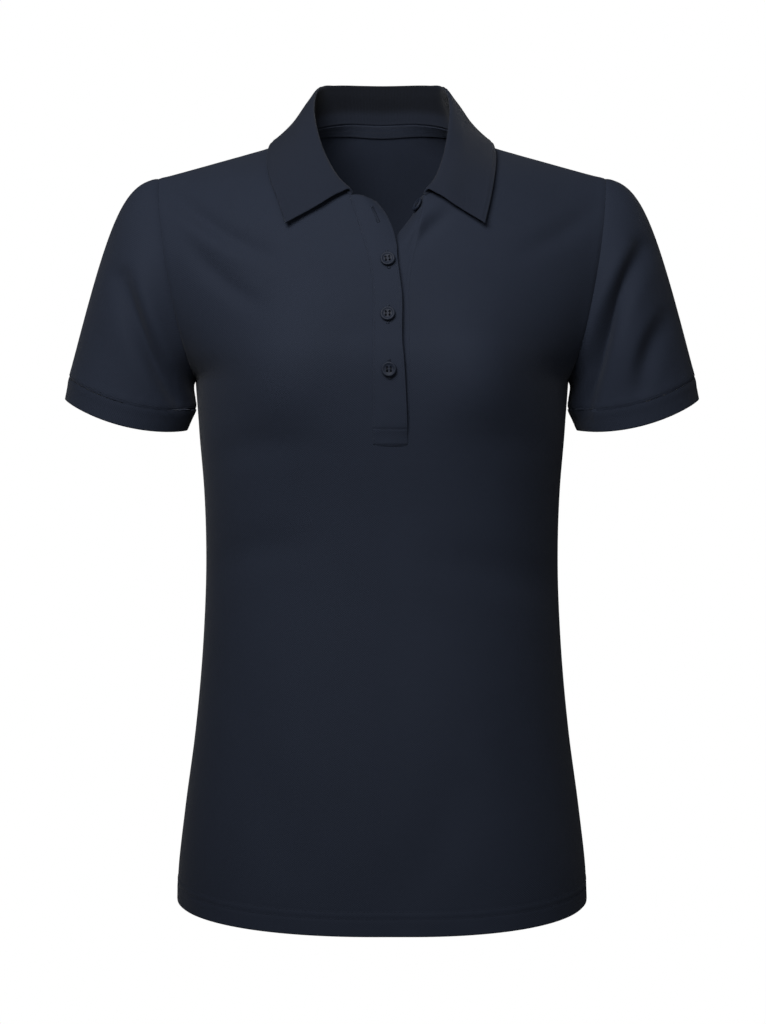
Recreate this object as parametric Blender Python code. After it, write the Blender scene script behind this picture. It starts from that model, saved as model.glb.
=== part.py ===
"""A women's short-sleeved polo shirt, filled out as if worn, as its cut and sewn pieces.

Every piece is a thin wall of cloth. The middle surface of each panel is a fan of rows, and each row is one
Bezier curve from the panel's inner edge (centre, placket or neck) to its outer edge (side seam or armhole).
Lengths in the tables are millimetres and angles are degrees. X points to the wearer's left, Y to the back
and Z up, and the origin lies between the high points of the shoulders, at the base of the neck.
"""

import math

import bmesh
import bpy
import numpy as np
from mathutils import Matrix, Vector
from mathutils.bvhtree import BVHTree

MM = 0.001

# Cloth walls and the clearance at each seam.
PIQUE_WALL = 1.2
RIB_WALL = 2.0
COLLAR_WALL = 1.8
PLACKET_WALL = 1.4
TAPE_WALL = 1.0
SEAM_GAP = 0.3
# kind of piece: material, wall; the other panels are pique
CLOTHS = {"collar": ("flat_knit", COLLAR_WALL), "cuff": ("rib_knit", RIB_WALL)}

# Sides of the body, along X, and faces of the body, along Y.
WEARERS_RIGHT, WEARERS_LEFT = -1, 1
FRONT, BACK = -1, 1
SIDE_NAMES = {WEARERS_RIGHT: "right", WEARERS_LEFT: "left"}

# A row's number says how high it lies: 0 is the hem, 1 the underarm and 2 the shoulder seam.
WINDOW_FOOT, UNDERARM, COLLAR_END, SHOULDER = 0.92, 1.0, 1.6, 2.0
HIP_ROWS = (0, 0.03, 0.1, 0.18, 0.26, 0.34, 0.42)
LOW_ROWS = HIP_ROWS + (0.5, 0.58, 0.66, 0.74, 0.81, 0.87, WINDOW_FOOT, 0.96, UNDERARM)
CHEST_ROWS = (1.05, 1.12, 1.2, 1.28, 1.35, 1.42, 1.5, 1.55, COLLAR_END)
FRONT_HIGH_ROWS = CHEST_ROWS + (1.65, 1.7, 1.76, 1.82, 1.88, 1.94, SHOULDER)
SHOULDER_BLADE_ROWS = (1.08, 1.18, 1.28, 1.38, 1.47, 1.55, COLLAR_END)
BACK_HIGH_ROWS = SHOULDER_BLADE_ROWS + (1.66, 1.72, 1.78, 1.84, 1.89, 1.945, SHOULDER)
HALF_COLUMNS = 13
WINDOW_COLUMNS = 2

# row, half width, depth, height
SIDE_SEAM = (
    (0.00, 162.6, 0, -614),
    (0.06, 162.0, 0, -593),
    (0.18, 156.6, 0, -543),
    (0.33, 148.3, 0, -480),
    (0.52, 141.6, 0, -401),
    (0.64, 139.8, 0, -350),
    (0.79, 141.4, 0, -288),
    (0.90, 145.4, 1, -242),
    (1.00, 148.5, 4, -200),
)

# ring, half width, depth, height: the ring starts at the underarm, and the shoulder's tip is halfway round
ARMHOLE = (
    (0.0, 148.5, 4, -200),
    (0.1, 154.5, -28, -183),
    (0.2, 163.0, -43, -150),
    (0.3, 171.0, -43, -108),
    (0.4, 176.5, -25, -69),
    (0.5, 179.0, 4, -39.5),
    (0.6, 177.5, 32, -66),
    (0.7, 172.0, 51, -106),
    (0.8, 164.0, 51, -148),
    (0.9, 154.5, 36, -182),
)

# row, edge of the wearer's right front, edge of the left front, depth, height
FRONT_EDGES = (
    (0.00, -5.6, 21.0, -121.0, -631.5),
    (0.13, -5.6, 21.0, -119.5, -576.0),
    (0.30, -5.6, 21.0, -114.0, -503.5),
    (0.45, -5.6, 21.0, -108.5, -439.5),
    (0.60, -5.6, 21.0, -105.0, -375.5),
    (0.74, -5.6, 21.0, -107.5, -315.8),
    (0.86, -5.6, 21.0, -114.5, -264.7),
    (0.92, -5.6, 21.0, -118.5, -239.0),
    (1.00, -5.6, 21.0, -121.5, -205.0),
    (1.20, -5.6, 21.0, -115.0, -163.0),
    (1.35, -6.2, 21.4, -104.0, -128.0),
    (1.42, -9.0, 24.0, -98.0, -110.0),
    (1.50, -15.0, 29.5, -88.0, -88.0),
    (1.55, -19.5, 32.5, -82.0, -74.0),
    (1.60, -24.0, 34.0, -76.0, -60.0),
)

# row, depth, height: the middle of the back
BACK_CENTRE = (
    (0.00, 106, -619),
    (0.20, 103, -536),
    (0.40, 90, -453),
    (0.60, 78, -371),
    (0.80, 87, -288),
    (1.00, 99, -205),
    (1.20, 102, -148),
    (1.40, 91, -68),
    (1.60, 60, 10),
)

# row, leave, leave angle, arrive, arrive angle, rise leaving, rise arriving: how a row leaves the inner edge
# and reaches the outer one, as shares of its span; angles are in plan, and 90 heads straight round the side
FRONT_ROWS = (
    (0.0, 0.50, 0, 0.36, 90, 0.00, 0.50),
    (0.6, 0.46, 0, 0.36, 90, 0.00, 0.45),
    (0.9, 0.49, 0, 0.37, 88, 0.00, 0.35),
    (1.0, 0.48, 0, 0.36, 84, 0.00, 0.40),
    (1.1, 0.46, 0, 0.34, 79, 0.05, 0.50),
    (1.2, 0.43, 0, 0.32, 71, 0.10, 0.60),
    (1.4, 0.40, 0, 0.30, 52, 0.20, 0.65),
    (1.6, 0.36, 2, 0.30, 38, 0.30, 0.67),
    (1.8, 0.34, 6, 0.30, 20, 0.40, 0.70),
    (2.0, 0.33, 0, 0.33, 2, 0.28, 0.67),
)
BACK_ROWS = (
    (0.0, 0.50, 0, 0.36, 90, 0.00, 0.50),
    (0.6, 0.46, 0, 0.36, 90, 0.00, 0.45),
    (0.9, 0.50, 0, 0.38, 92, 0.00, 0.35),
    (1.0, 0.50, 0, 0.37, 96, 0.00, 0.40),
    (1.1, 0.48, 0, 0.35, 86, 0.05, 0.50),
    (1.2, 0.46, 1, 0.33, 74, 0.10, 0.56),
    (1.4, 0.42, 4, 0.30, 58, 0.22, 0.62),
    (1.6, 0.34, 14, 0.28, 40, 0.42, 0.74),
    (1.8, 0.34, 12, 0.30, 22, 0.52, 0.78),
    (2.0, 0.33, 0, 0.33, -2, 0.28, 0.67),
)

# station, half width on the wearer's right, half width on the left, depth, height; the stations run from the
# middle of the back (0) over the high point of the shoulder (1) to the collar's front end (2)
NECK_SEAM = (
    (0.0, 0, 0, 60, 10),
    (0.3, 30, 30, 55, 10.4),
    (0.6, 54, 54, 40, 5.0),
    (1.0, 66, 66, 5, -10.5),
    (1.4, 57, 58, -41, -31),
    (1.7, 42, 47, -63, -48),
    (2.0, 24, 34, -76, -60),
)
COLLAR_FOLD = (
    (0.0, 0, 0, 66, 41.8),
    (0.3, 29, 29, 63, 42),
    (0.5, 45.5, 45.5, 55, 41),
    (0.7, 52, 52, 42, 37),
    (1.0, 55, 55, 10, 22.5),
    (1.3, 53, 54, -24, 1),
    (1.55, 46, 50, -49, -23),
    (1.8, 35, 43, -68, -44),
    (2.0, 25, 35, -77.5, -55),
)
COLLAR_EDGE = (
    (0.0, 0, 0, 85, -12),
    (0.3, 30, 30, 82, -12),
    (0.6, 62, 62, 69, -12),
    (0.8, 79, 79, 48, -9.9),
    (1.0, 86.8, 86.8, 22, -9.4),
    (1.2, 90, 89.5, 0, -13.0),
    (1.4, 91.5, 90.5, -27, -26.5),
    (1.6, 88.5, 88.5, -53, -43),
    (1.8, 81, 84.5, -75, -63.5),
    (2.0, 75, 80, -90, -82),
)
FOLD_ROLL = 2.4
FOLD_REACH = 7.0
LEAF_CROWN = 0.6
STAND_STEPS, ROLL_STEPS, LEAF_STEPS = 3, 4, 5

# The sleeve's end, where the cuff is sewn on, and the cuff's lower rim: two tilted ellipses.
CUFF_CENTRE = (205.2, 8.0, -228.0)
CUFF_TILT, CUFF_LEAN = 14.4, 17.5
CUFF_HEIGHT = 18.0
SLEEVE_END_RADII = (52.3, 50.0)
CUFF_RIM_RADII = (49.8, 47.5)
CUFF_DIP_FRONT, CUFF_DIP_BACK = 10.2, 3.0
SLEEVE_STEPS = 9
CUFF_STEPS = 2

# Under the arm the sleeve lies back against the body: the heights between which the crease deepens, the
# sleeve's clearance there, and how many steps along the arm it takes to fade.
CREASE_HEIGHTS = (-120, -178)
CREASE_CLEARANCE = 1.6
CREASE_STEPS = 4

# ring, outward, backward, upward, leave, arrive: how the sleeve leaves the armhole, and how long it heads that
# way and then along the arm
SLEEVE_HEAD = (
    (0.00, 0.45, 0.10, -1.00, 8, 8),
    (0.10, 0.55, -0.35, -0.80, 20, 14),
    (0.20, 0.80, -0.40, -0.50, 30, 24),
    (0.35, 0.92, -0.28, -0.30, 33, 74),
    (0.50, 0.97, 0.00, -0.12, 29, 128),
    (0.65, 0.92, 0.28, -0.30, 33, 74),
    (0.80, 0.80, 0.40, -0.50, 30, 24),
    (0.90, 0.55, 0.35, -0.80, 20, 14),
)

# The fullness that the front is shaped with: across, height, spread across, spread above, spread below, swell.
CHEST_FULLNESS = (74, -202, 37, 56, 42, 11)

# across and height of one end, across and height of the other, bow, width, depth: the largest folds, as seen
# from that face; a negative depth is a trough
FRONT_FOLDS = (
    (-172, -48, -86, -110, -5, 8, -4.4),
    (-160, -72, -92, -116, -4, 8, 1.8),
    (-152, -96, -92, -148, -4, 8, -3.2),
    (-206, -122, -152, -227, -6, 9, -10.0),
    (-192, -120, -166, -186, -2, 7, 1.8),
    (206, -98, 157, -230, -5, 9, -13.5),
    (195, -98, 150, -216, -5, 7, 3.0),
    (215, -146, 190, -214, -4, 9, 2.6),
    (224, -152, 204, -204, -3, 9, -4.4),
    (172, -62, 110, -104, 3, 9, -2.0),
    (-140, -268, -60, -250, 6, 14, -1.8),
    (140, -262, 48, -246, -6, 14, -2.2),
    (-138, -352, -60, -330, 6, 16, -2.0),
    (139, -372, 52, -344, -6, 18, -2.4),
    (148, -560, 96, -470, 8, 20, -2.6),
    (-60, -600, -96, -470, 8, 24, -2.0),
    (10, -612, 64, -500, -8, 24, -2.2),
)
BACK_FOLDS = (
    (-170, -92, -88, -150, 6, 12, -3.2),
    (168, -100, 92, -142, -6, 12, -2.8),
    (-140, -320, -30, -352, 6, 14, -3.4),
    (138, -334, 36, -366, -6, 14, -3.0),
    (-139, -372, -40, -392, 5, 14, -2.6),
    (140, -386, 28, -404, -5, 15, -3.0),
    (-60, -600, -40, -440, 6, 22, -2.8),
    (76, -604, 58, -450, -6, 22, -2.4),
    (-208, -118, -150, -222, 8, 12, -5.0),
    (204, -108, 150, -222, -8, 12, -5.6),
    (-222, -160, -196, -214, 4, 10, -3.0),
    (226, -156, 200, -212, -4, 10, -2.6),
)

# row, reach of the upper band from the right front's edge, its drop and its turn inwards; then the same for
# the under band from the left front's edge
PLACKET_BANDS = (
    (0.85, 26.0, 0.0, 0.0, 24.6, 0.0, 0.0),
    (0.90, 25.4, 0.0, 0.0, 24.6, 0.0, 0.0),
    (0.99, 23.8, 0.0, 0.0, 24.6, 0.0, 0.0),
    (1.03, 23.0, 0.0, 0.0, 24.6, 0.0, 0.0),
    (1.11, 21.4, 0.0, 0.0, 24.6, 0.0, 0.0),
    (1.28, 21.0, 0.0, 0.0, 24.4, 0.0, 0.0),
    (1.36, 20.2, 0.0, 0.0, 24.0, 0.0, 0.6),
    (1.42, 20.4, 0.4, -0.4, 23.0, 0.0, 2.2),
    (1.46, 22.2, 1.4, -0.8, 20.8, 0.2, 4.6),
    (1.50, 23.2, 2.8, -0.8, 17.6, 0.6, 9.0),
    (1.55, 21.8, 4.4, -0.2, 10.5, 1.0, 15.0),
    (1.60, 17.6, 6.0, 1.0, 6.5, 2.0, 17.5),
)
BAND_FOOT = 0.879
BAND_LAP = 1.6
# the rows over which the bands' sections change from straight to bent back
BEND_START, BEND_SPAN = 1.36, 0.2
BAND_STEPS = 4

# Steps down from the neck's seam to the tape's edges, and the station where it ends.
TAPE_STEPS = (1.0, 5.0, 9.5)
TAPE_END = 0.96

# row and share of the band's reach where each button sits; the first is undone and sits on the under band
BUTTONS = (
    ("button_1", 1.57, 0.52),
    ("button_2", 1.413, 0.66),
    ("button_3", 1.236, 0.52),
    ("button_4", 1.032, 0.52),
)
BUTTON_HOLE_RADIUS = 0.75
BUTTON_HOLE_OFFSET = 1.35
BUTTON_SIDES = 20
BUTTON_HOLE_SIDES = 6
# radius and height of the turned profile, from the middle of the back to the middle of the dished face
BUTTON_PROFILE = (
    (0, 0),
    (4.6, 0),
    (5.5, 0.5),
    (5.75, 1.2),
    (5.6, 1.9),
    (4.9, 2.3),
    (4.1, 2.1),
    (3.4, 1.6),
    (0, 1.5),
)

# name: colour, roughness
MATERIALS = {
    "pique": ((0.016, 0.021, 0.034), 0.86),
    "flat_knit": ((0.018, 0.023, 0.037), 0.9),
    "rib_knit": ((0.015, 0.020, 0.033), 0.9),
    "tape": ((0.018, 0.021, 0.030), 0.8),
    "button": ((0.010, 0.014, 0.024), 0.3),
}


def unit(vectors):
    return vectors / np.maximum(np.linalg.norm(vectors, axis=-1, keepdims=True), 1e-12)


def smooth(table, at):
    """The table's other columns where its first is `at`, on a smooth curve through the rows."""
    rows = np.array(table, float)
    keys, values = rows[:, 0], rows[:, 1:]
    slopes = np.gradient(values, keys, axis=0)
    at = np.atleast_1d(at)
    low = np.clip(np.searchsorted(keys, at, "right") - 1, 0, len(keys) - 2)
    span = (keys[low + 1] - keys[low])[:, None]
    t = (at[:, None] - keys[low][:, None]) / span
    return (
        (2 * t**3 - 3 * t**2 + 1) * values[low]
        + (t**3 - 2 * t**2 + t) * span * slopes[low]
        + (3 * t**2 - 2 * t**3) * values[low + 1]
        + (t**3 - t**2) * span * slopes[low + 1]
    )


def around(table):
    """A ring's table, carried on past both ends so that it closes smoothly."""
    rows = np.array(table, float)
    before, after = rows[-3:].copy(), rows[:3].copy()
    before[:, 0] -= 1
    after[:, 0] += 1
    return np.vstack([before, rows, after])


def both_sides(table):
    """A half table of stations as one signed table: negative stations lie on the wearer's right."""
    rows = np.array(table, float)
    right = np.column_stack([-rows[:, 0], -rows[:, 1], rows[:, 3:]])[:0:-1]
    left = np.column_stack([rows[:, 0], rows[:, 2], rows[:, 3:]])
    return np.vstack([right, left])


def bezier(start, leave, arrive, end, t):
    t = t[:, None]
    return (1 - t) ** 3 * start + 3 * t * (1 - t) ** 2 * leave + 3 * t**2 * (1 - t) * arrive + t**3 * end


def evenly(curve, count):
    """`count` + 1 points, evenly spaced along a dense curve."""
    lengths = np.r_[0, np.cumsum(np.linalg.norm(np.diff(curve, axis=0), axis=1))]
    at = np.linspace(0, lengths[-1], count + 1)
    return np.column_stack([np.interp(at, lengths, curve[:, axis]) for axis in range(3)])


# Edges that pieces share.


def armhole_point(side, face, row):
    """The armhole's seam at a row above the underarm, on the front or the back half of the ring."""
    climb = (row - UNDERARM) / 2
    width, depth, height = smooth(around(ARMHOLE), climb if face == FRONT else 1 - climb)[0]
    return np.array([side * width, depth, height])


def outer_edge(side, face, row):
    if row > UNDERARM:
        return armhole_point(side, face, row)
    width, depth, height = smooth(SIDE_SEAM, row)[0]
    return np.array([side * width, depth, height])


def neck_station(face, row):
    """The neck seam's station for a row whose inner end lies on the neck."""
    climb = (row - COLLAR_END) / (SHOULDER - COLLAR_END)
    return 2 - climb if face == FRONT else climb


def neck_point(side, station):
    return smooth(both_sides(NECK_SEAM), side * station)[0]


def inner_edge(side, face, row):
    if row > COLLAR_END:
        return neck_point(side, neck_station(face, row))
    if face == BACK:
        depth, height = smooth(BACK_CENTRE, row)[0]
        return np.array([0.0, depth, height])
    right, left, depth, height = smooth(FRONT_EDGES, row)[0]
    return np.array([right if side == WEARERS_RIGHT else left, depth, height])


# Middle surfaces, as points and quads.


def panel_row(side, face, row, count=HALF_COLUMNS):
    """One row of a panel, from its inner edge to its outer edge."""
    inner, outer = inner_edge(side, face, row), outer_edge(side, face, row)
    table = FRONT_ROWS if face == FRONT else BACK_ROWS
    leave, leave_angle, arrive, arrive_angle, rise_in, rise_out = smooth(table, row)[0]
    leave_angle, arrive_angle = math.radians(leave_angle), math.radians(arrive_angle)
    span = np.linalg.norm(outer - inner)
    climb = np.array([0, 0, outer[2] - inner[2]])
    heading_out = np.array([side * math.cos(leave_angle), face * math.sin(leave_angle), 0])
    heading_round = np.array([side * math.cos(arrive_angle), -face * math.sin(arrive_angle), 0])
    first = inner + leave * span * heading_out + rise_in * climb
    second = outer - arrive * span * heading_round - (1 - rise_out) * climb
    return evenly(bezier(inner, first, second, outer, np.linspace(0, 1, 121)), count)


def strip_faces(rows, columns, start=0):
    """Quads of a grid that is stored row by row."""
    return [
        (a, a + 1, a + columns + 1, a + columns)
        for row in range(rows - 1)
        for a in range(start + row * columns, start + (row + 1) * columns - 1)
    ]


def front_panel():
    """The front is one panel up to the placket's window, and a right and a left front above it."""
    rows = LOW_ROWS + FRONT_HIGH_ROWS
    columns = 2 * (HALF_COLUMNS + 1) + WINDOW_COLUMNS - 1
    points, faces = [], []
    for row in rows:
        right = panel_row(WEARERS_RIGHT, FRONT, row)[::-1]
        left = panel_row(WEARERS_LEFT, FRONT, row)
        steps = np.linspace(0, 1, WINDOW_COLUMNS + 1)[1:-1, None]
        between = right[-1] + steps * (left[0] - right[-1])
        points.append(np.vstack([right, between, left]))
    for quad in strip_faces(len(rows), columns):
        row, column = divmod(quad[0], columns)
        in_window = HALF_COLUMNS <= column < HALF_COLUMNS + WINDOW_COLUMNS
        if not (in_window and rows[row] >= WINDOW_FOOT):
            faces.append(quad)
    return compact(np.vstack(points), faces)


def back_panel():
    """The back is one panel up to the neck, where its two halves part."""
    rows = LOW_ROWS + BACK_HIGH_ROWS
    columns = HALF_COLUMNS + 1
    points, faces = [], []
    for side in (WEARERS_LEFT, WEARERS_RIGHT):
        start = sum(len(block) for block in points)
        block = np.vstack([panel_row(side, BACK, row)[::-side] for row in rows])
        points.append(block)
        faces += strip_faces(len(rows), columns, start)
    return compact(np.vstack(points), faces)


def compact(points, faces):
    """Merges the points that coincide, and drops those that no face uses."""
    used = np.unique(np.array(faces))
    _, first, place = np.unique(np.round(points[used], 4), axis=0, return_index=True, return_inverse=True)
    index = np.full(len(points), -1)
    index[used] = place.reshape(-1)
    return points[used][first], [tuple(int(index[corner]) for corner in face) for face in faces]


def cuff_ring(side, ring, radii, rise):
    """The point of a cuff's ellipse at a share of the ring, `rise` above the rim along the arm."""
    turn = math.pi * (1 - 2 * ring)
    tilt, lean = math.radians(CUFF_TILT), math.radians(CUFF_LEAN)
    across = np.array([side * math.cos(tilt), 0, math.sin(tilt)])
    up_arm = np.array([-side * math.sin(lean), 0, math.cos(lean)])
    centre = np.array([side * CUFF_CENTRE[0], CUFF_CENTRE[1], CUFF_CENTRE[2]])
    mean, front_more = (CUFF_DIP_FRONT + CUFF_DIP_BACK) / 2, (CUFF_DIP_FRONT - CUFF_DIP_BACK) / 2
    dip = mean * math.sin(turn) ** 2 + front_more * math.sin(turn)
    point = centre + radii[0] * math.cos(turn) * across + rise * up_arm
    return point + np.array([0, -radii[1] * math.sin(turn), -dip])


def armhole_rings():
    """Where the front's rows and then the back's reach the armhole, as (share of the ring, face, row)."""
    up = [((row - 1) / 2, FRONT, row) for row in (UNDERARM,) + FRONT_HIGH_ROWS]
    down = [(1 - (row - 1) / 2, BACK, row) for row in reversed(BACK_HIGH_ROWS[:-1])]
    return up + down


def tube_faces(columns, rings):
    faces = []
    for ring in range(rings - 1):
        low, high = ring * columns, (ring + 1) * columns
        for column in range(columns):
            after = (column + 1) % columns
            faces.append((low + column, low + after, high + after, high + column))
    return faces


def sleeve(side):
    tilt = math.radians(CUFF_TILT)
    down_arm = np.array([side * math.sin(tilt), 0, -math.cos(tilt)])
    lines = []
    for ring, face, row in armhole_rings():
        outward, backward, upward, leave, arrive = smooth(around(SLEEVE_HEAD), ring)[0]
        start = armhole_point(side, face, row)
        end = cuff_ring(side, ring, SLEEVE_END_RADII, CUFF_HEIGHT)
        heading = unit(np.array([side * outward, backward, upward]))
        curve = bezier(start, start + leave * heading, end - arrive * down_arm, end, np.linspace(0, 1, 81))
        lines.append(evenly(curve, SLEEVE_STEPS))
    points = np.array(lines).transpose(1, 0, 2).reshape(-1, 3)
    faces = tube_faces(len(lines), SLEEVE_STEPS + 1)
    return points, [face[::-1] for face in faces] if side == WEARERS_LEFT else faces


def cuff(side):
    rings = []
    for step in range(CUFF_STEPS + 1):
        share = step / CUFF_STEPS
        draw = share**0.7
        radii = [top + draw * (rim - top) for top, rim in zip(SLEEVE_END_RADII, CUFF_RIM_RADII)]
        rise = CUFF_HEIGHT * (1 - share)
        rings.append([cuff_ring(side, ring, radii, rise) for ring, _, _ in armhole_rings()])
    points = np.array(rings).reshape(-1, 3)
    faces = tube_faces(len(rings[0]), CUFF_STEPS + 1)
    return points, [face[::-1] for face in faces] if side == WEARERS_LEFT else faces


def collar_profile(station):
    """The collar's section at a signed station: up the stand, over the fold and down the leaf."""
    seam = smooth(both_sides(NECK_SEAM), station)[0]
    fold = smooth(both_sides(COLLAR_FOLD), station)[0]
    edge = smooth(both_sides(COLLAR_EDGE), station)[0]
    down_stand, down_leaf = unit(seam - fold), unit(edge - fold)
    stand_height, leaf_length = np.linalg.norm(seam - fold), np.linalg.norm(edge - fold)
    across = unit(down_leaf - down_stand)
    off_leaf = unit(across - across.dot(down_leaf) * down_leaf)
    stand_reach = min(FOLD_REACH, 0.5 * stand_height)
    roll = FOLD_ROLL * min(1.0, stand_height / FOLD_REACH)
    controls = np.array([
        seam,
        seam + 0.5 * (fold + stand_reach * down_stand - seam) - 0.25 * roll * across,
        fold + stand_reach * down_stand - roll * across,
        fold,
        fold + FOLD_REACH * down_leaf + roll * across,
        fold + 0.5 * leaf_length * down_leaf + LEAF_CROWN * off_leaf,
        edge,
    ])
    keys = np.r_[0, np.cumsum(np.linalg.norm(np.diff(controls, axis=0), axis=1))]
    at = np.r_[
        np.linspace(0, keys[2], STAND_STEPS + 1)[:-1],
        np.linspace(keys[2], keys[4], ROLL_STEPS + 1)[:-1],
        np.linspace(keys[4], keys[6], LEAF_STEPS + 1),
    ]
    return smooth(np.column_stack([keys, controls]), at)


def collar_stations():
    front = [neck_station(FRONT, row) for row in FRONT_HIGH_ROWS if row >= COLLAR_END]
    back = [neck_station(BACK, row) for row in reversed(BACK_HIGH_ROWS[:-1]) if row >= COLLAR_END]
    half = front + back
    return [-station for station in half] + half[-2::-1]


def collar():
    sections = [collar_profile(station) for station in collar_stations()]
    faces = strip_faces(len(sections), len(sections[0]))
    return np.vstack(sections), faces


# Form, folds and walls.


def shared_normals(pieces):
    """Each piece's normals, averaged at seams over every piece that meets there."""
    stacked = np.vstack([points for points, _ in pieces.values()])
    _, index = np.unique(np.round(stacked, 3), axis=0, return_inverse=True)
    index = index.reshape(-1)
    total = np.zeros((index.max() + 1, 3))
    own, start = {}, 0
    for name, (points, faces) in pieces.items():
        normals = face_weights(points, faces)
        own[name] = unit(normals)
        np.add.at(total, index[start : start + len(points)], normals)
        start += len(points)
    shared, start = {}, 0
    for name, (points, _) in pieces.items():
        shared[name] = unit(total[index[start : start + len(points)]])
        start += len(points)
    return shared, own


def face_weights(points, faces):
    """The sum of the area vectors of the faces round each point."""
    corners = points[np.array(faces)]
    areas = np.cross(corners[:, 2] - corners[:, 0], corners[:, 3] - corners[:, 1])
    normals = np.zeros_like(points)
    for corner in range(4):
        np.add.at(normals, np.array(faces)[:, corner], areas)
    return normals


def fold_relief(folds, across, height):
    """How far the folds stand out at each place of one face of the body, as seen from that face."""
    relief = np.zeros_like(across)
    for x0, z0, x1, z1, bow, width, depth in folds:
        along = np.array([x1 - x0, z1 - z0])
        length = np.linalg.norm(along)
        along = along / length
        share = ((across - x0) * along[0] + (height - z0) * along[1]) / length
        aside = (across - x0) * -along[1] + (height - z0) * along[0]
        inside = np.clip(share, 0, 1)
        aside = aside - bow * 4 * inside * (1 - inside)
        fade = np.exp(-(((share - inside) * length / width) ** 2))
        taper = 0.35 + 0.65 * np.sin(np.pi * inside)
        relief += depth * taper * fade * np.exp(-((aside / width) ** 2))
    return relief


def chest_swell(across, height):
    """The front's fullness, as if a dart's worth of cloth were eased in under each arm."""
    place, level, spread, above, below, swell = CHEST_FULLNESS
    reach = np.where(height > level, above, below)
    return swell * np.exp(-(((np.abs(across) - place) / spread) ** 2) - ((height - level) / reach) ** 2)


def drape(pieces):
    """Moves the middle surfaces along their normals by the body's form and folds."""
    normals, _ = shared_normals(pieces)
    draped = {}
    for name, (points, faces) in pieces.items():
        across, height, facing = points[:, 0], points[:, 2], normals[name][:, 1]
        to_front = np.clip(-facing * 1.6, 0, 1) ** 1.5
        to_back = np.clip(facing * 1.6, 0, 1) ** 1.5
        relief = to_front * (fold_relief(FRONT_FOLDS, across, height) + chest_swell(across, height))
        relief = relief + to_back * fold_relief(BACK_FOLDS, across, height)
        draped[name] = (points + relief[:, None] * normals[name], faces)
    return draped


def underarm_share(height):
    """1 where the sleeve's seam turns back on itself under the arm, and 0 above."""
    top, foot = CREASE_HEIGHTS
    return np.clip((top - height) / (top - foot), 0, 1)


def ease_sleeve(points, side):
    """Stands the sleeve's underside off the body's side, by less along the arm."""
    rings = points.reshape(SLEEVE_STEPS + 1, -1, 3).copy()
    share = underarm_share(rings[0, :, 2])
    for step in range(CREASE_STEPS):
        rings[step, :, 0] += side * CREASE_CLEARANCE * share * (1 - step / CREASE_STEPS)
    return rings.reshape(-1, 3)


def part_normals(name, points, shared, body, own):
    """At the crease under the arm the sleeve and the body each keep their own direction."""
    if name.startswith("cuff") or name == "collar":
        return shared
    apart = own if name.startswith("sleeve") else body
    share = underarm_share(points[:, 2])[:, None]
    return unit((1 - share) * shared + share * apart)


def rim_edges(faces):
    """The edges that only one face uses, each in that face's own direction."""
    seen = {}
    for face in faces:
        for a, b in zip(face, face[1:] + face[:1]):
            seen.setdefault((min(a, b), max(a, b)), []).append((a, b, face))
    return [uses[0] for uses in seen.values() if len(uses) == 1]


def draw_in(points, faces, distance):
    """Draws a piece's edges into its own surface, which leaves its half of the seam's gap."""
    pulls = {}
    for a, b, face in rim_edges(faces):
        along = unit(points[b] - points[a])
        inward = points[list(face)].mean(axis=0) - points[a]
        inward = unit(inward - inward.dot(along) * along)
        pulls.setdefault(a, []).append(inward)
        pulls.setdefault(b, []).append(inward)
    drawn = points.copy()
    for corner, inward in pulls.items():
        first, second = inward[0], inward[-1]
        drawn[corner] = points[corner] + distance * (first + second) / max(1 + first.dot(second), 0.5)
    return drawn


def triangles(points, faces):
    """Each quad cut along its shorter diagonal, so that both faces of a wall bend along the same lines."""
    cut = []
    for a, b, c, d in faces:
        first = np.sum((points[a] - points[c]) ** 2) <= np.sum((points[b] - points[d]) ** 2)
        cut += [(a, b, c), (a, c, d)] if first else [(a, b, d), (b, c, d)]
    return cut


def wall(points, faces, normals, own, thickness):
    """A closed wall about a middle surface."""
    mitre = 1 / np.clip((normals * own).sum(axis=1), 0.72, 1)
    half = thickness / 2 * normals * mitre[:, None]
    count = len(points)
    skin = triangles(points, faces)
    shell = skin + [tuple(corner + count for corner in reversed(face)) for face in skin]
    shell += [(b, a, a + count, b + count) for a, b, _ in rim_edges(faces)]
    return np.vstack([points + half, points - half]), shell


def cloth_object(name, points, faces, material):
    mesh = bpy.data.meshes.new(name)
    mesh.from_pydata((points * MM).tolist(), [], faces)
    mesh.update()
    mesh.materials.append(material)
    mesh.shade_smooth()
    mesh.set_sharp_from_angle(angle=math.radians(50))
    piece = bpy.data.objects.new(name, mesh)
    bpy.context.scene.collection.objects.link(piece)
    return piece


# The placket, the neck tape and the buttons lie on the panels, so they are made from the panels' points.


def nearest(points, targets):
    """For each target, the index of the point that it coincides with."""
    return [int(np.argmin(((points - target) ** 2).sum(axis=1))) for target in targets]


def placket_edge(front, side):
    """The draped points and normals of one side of the window, from the band's foot to the collar's end."""
    points, normals, base = front
    rows = [row for row in LOW_ROWS + CHEST_ROWS if row >= WINDOW_FOOT]
    found = nearest(base, [inner_edge(side, FRONT, row) for row in rows])
    foot = nearest(base, [inner_edge(side, FRONT, 0.87)])[0]
    share = (BAND_FOOT - 0.87) / (WINDOW_FOOT - 0.87)
    start = points[foot] + share * (points[found[0]] - points[foot])
    keys = np.array([BAND_FOOT] + rows)
    return keys, np.vstack([start, points[found]]), np.vstack([normals[found[0]], normals[found]])


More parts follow.
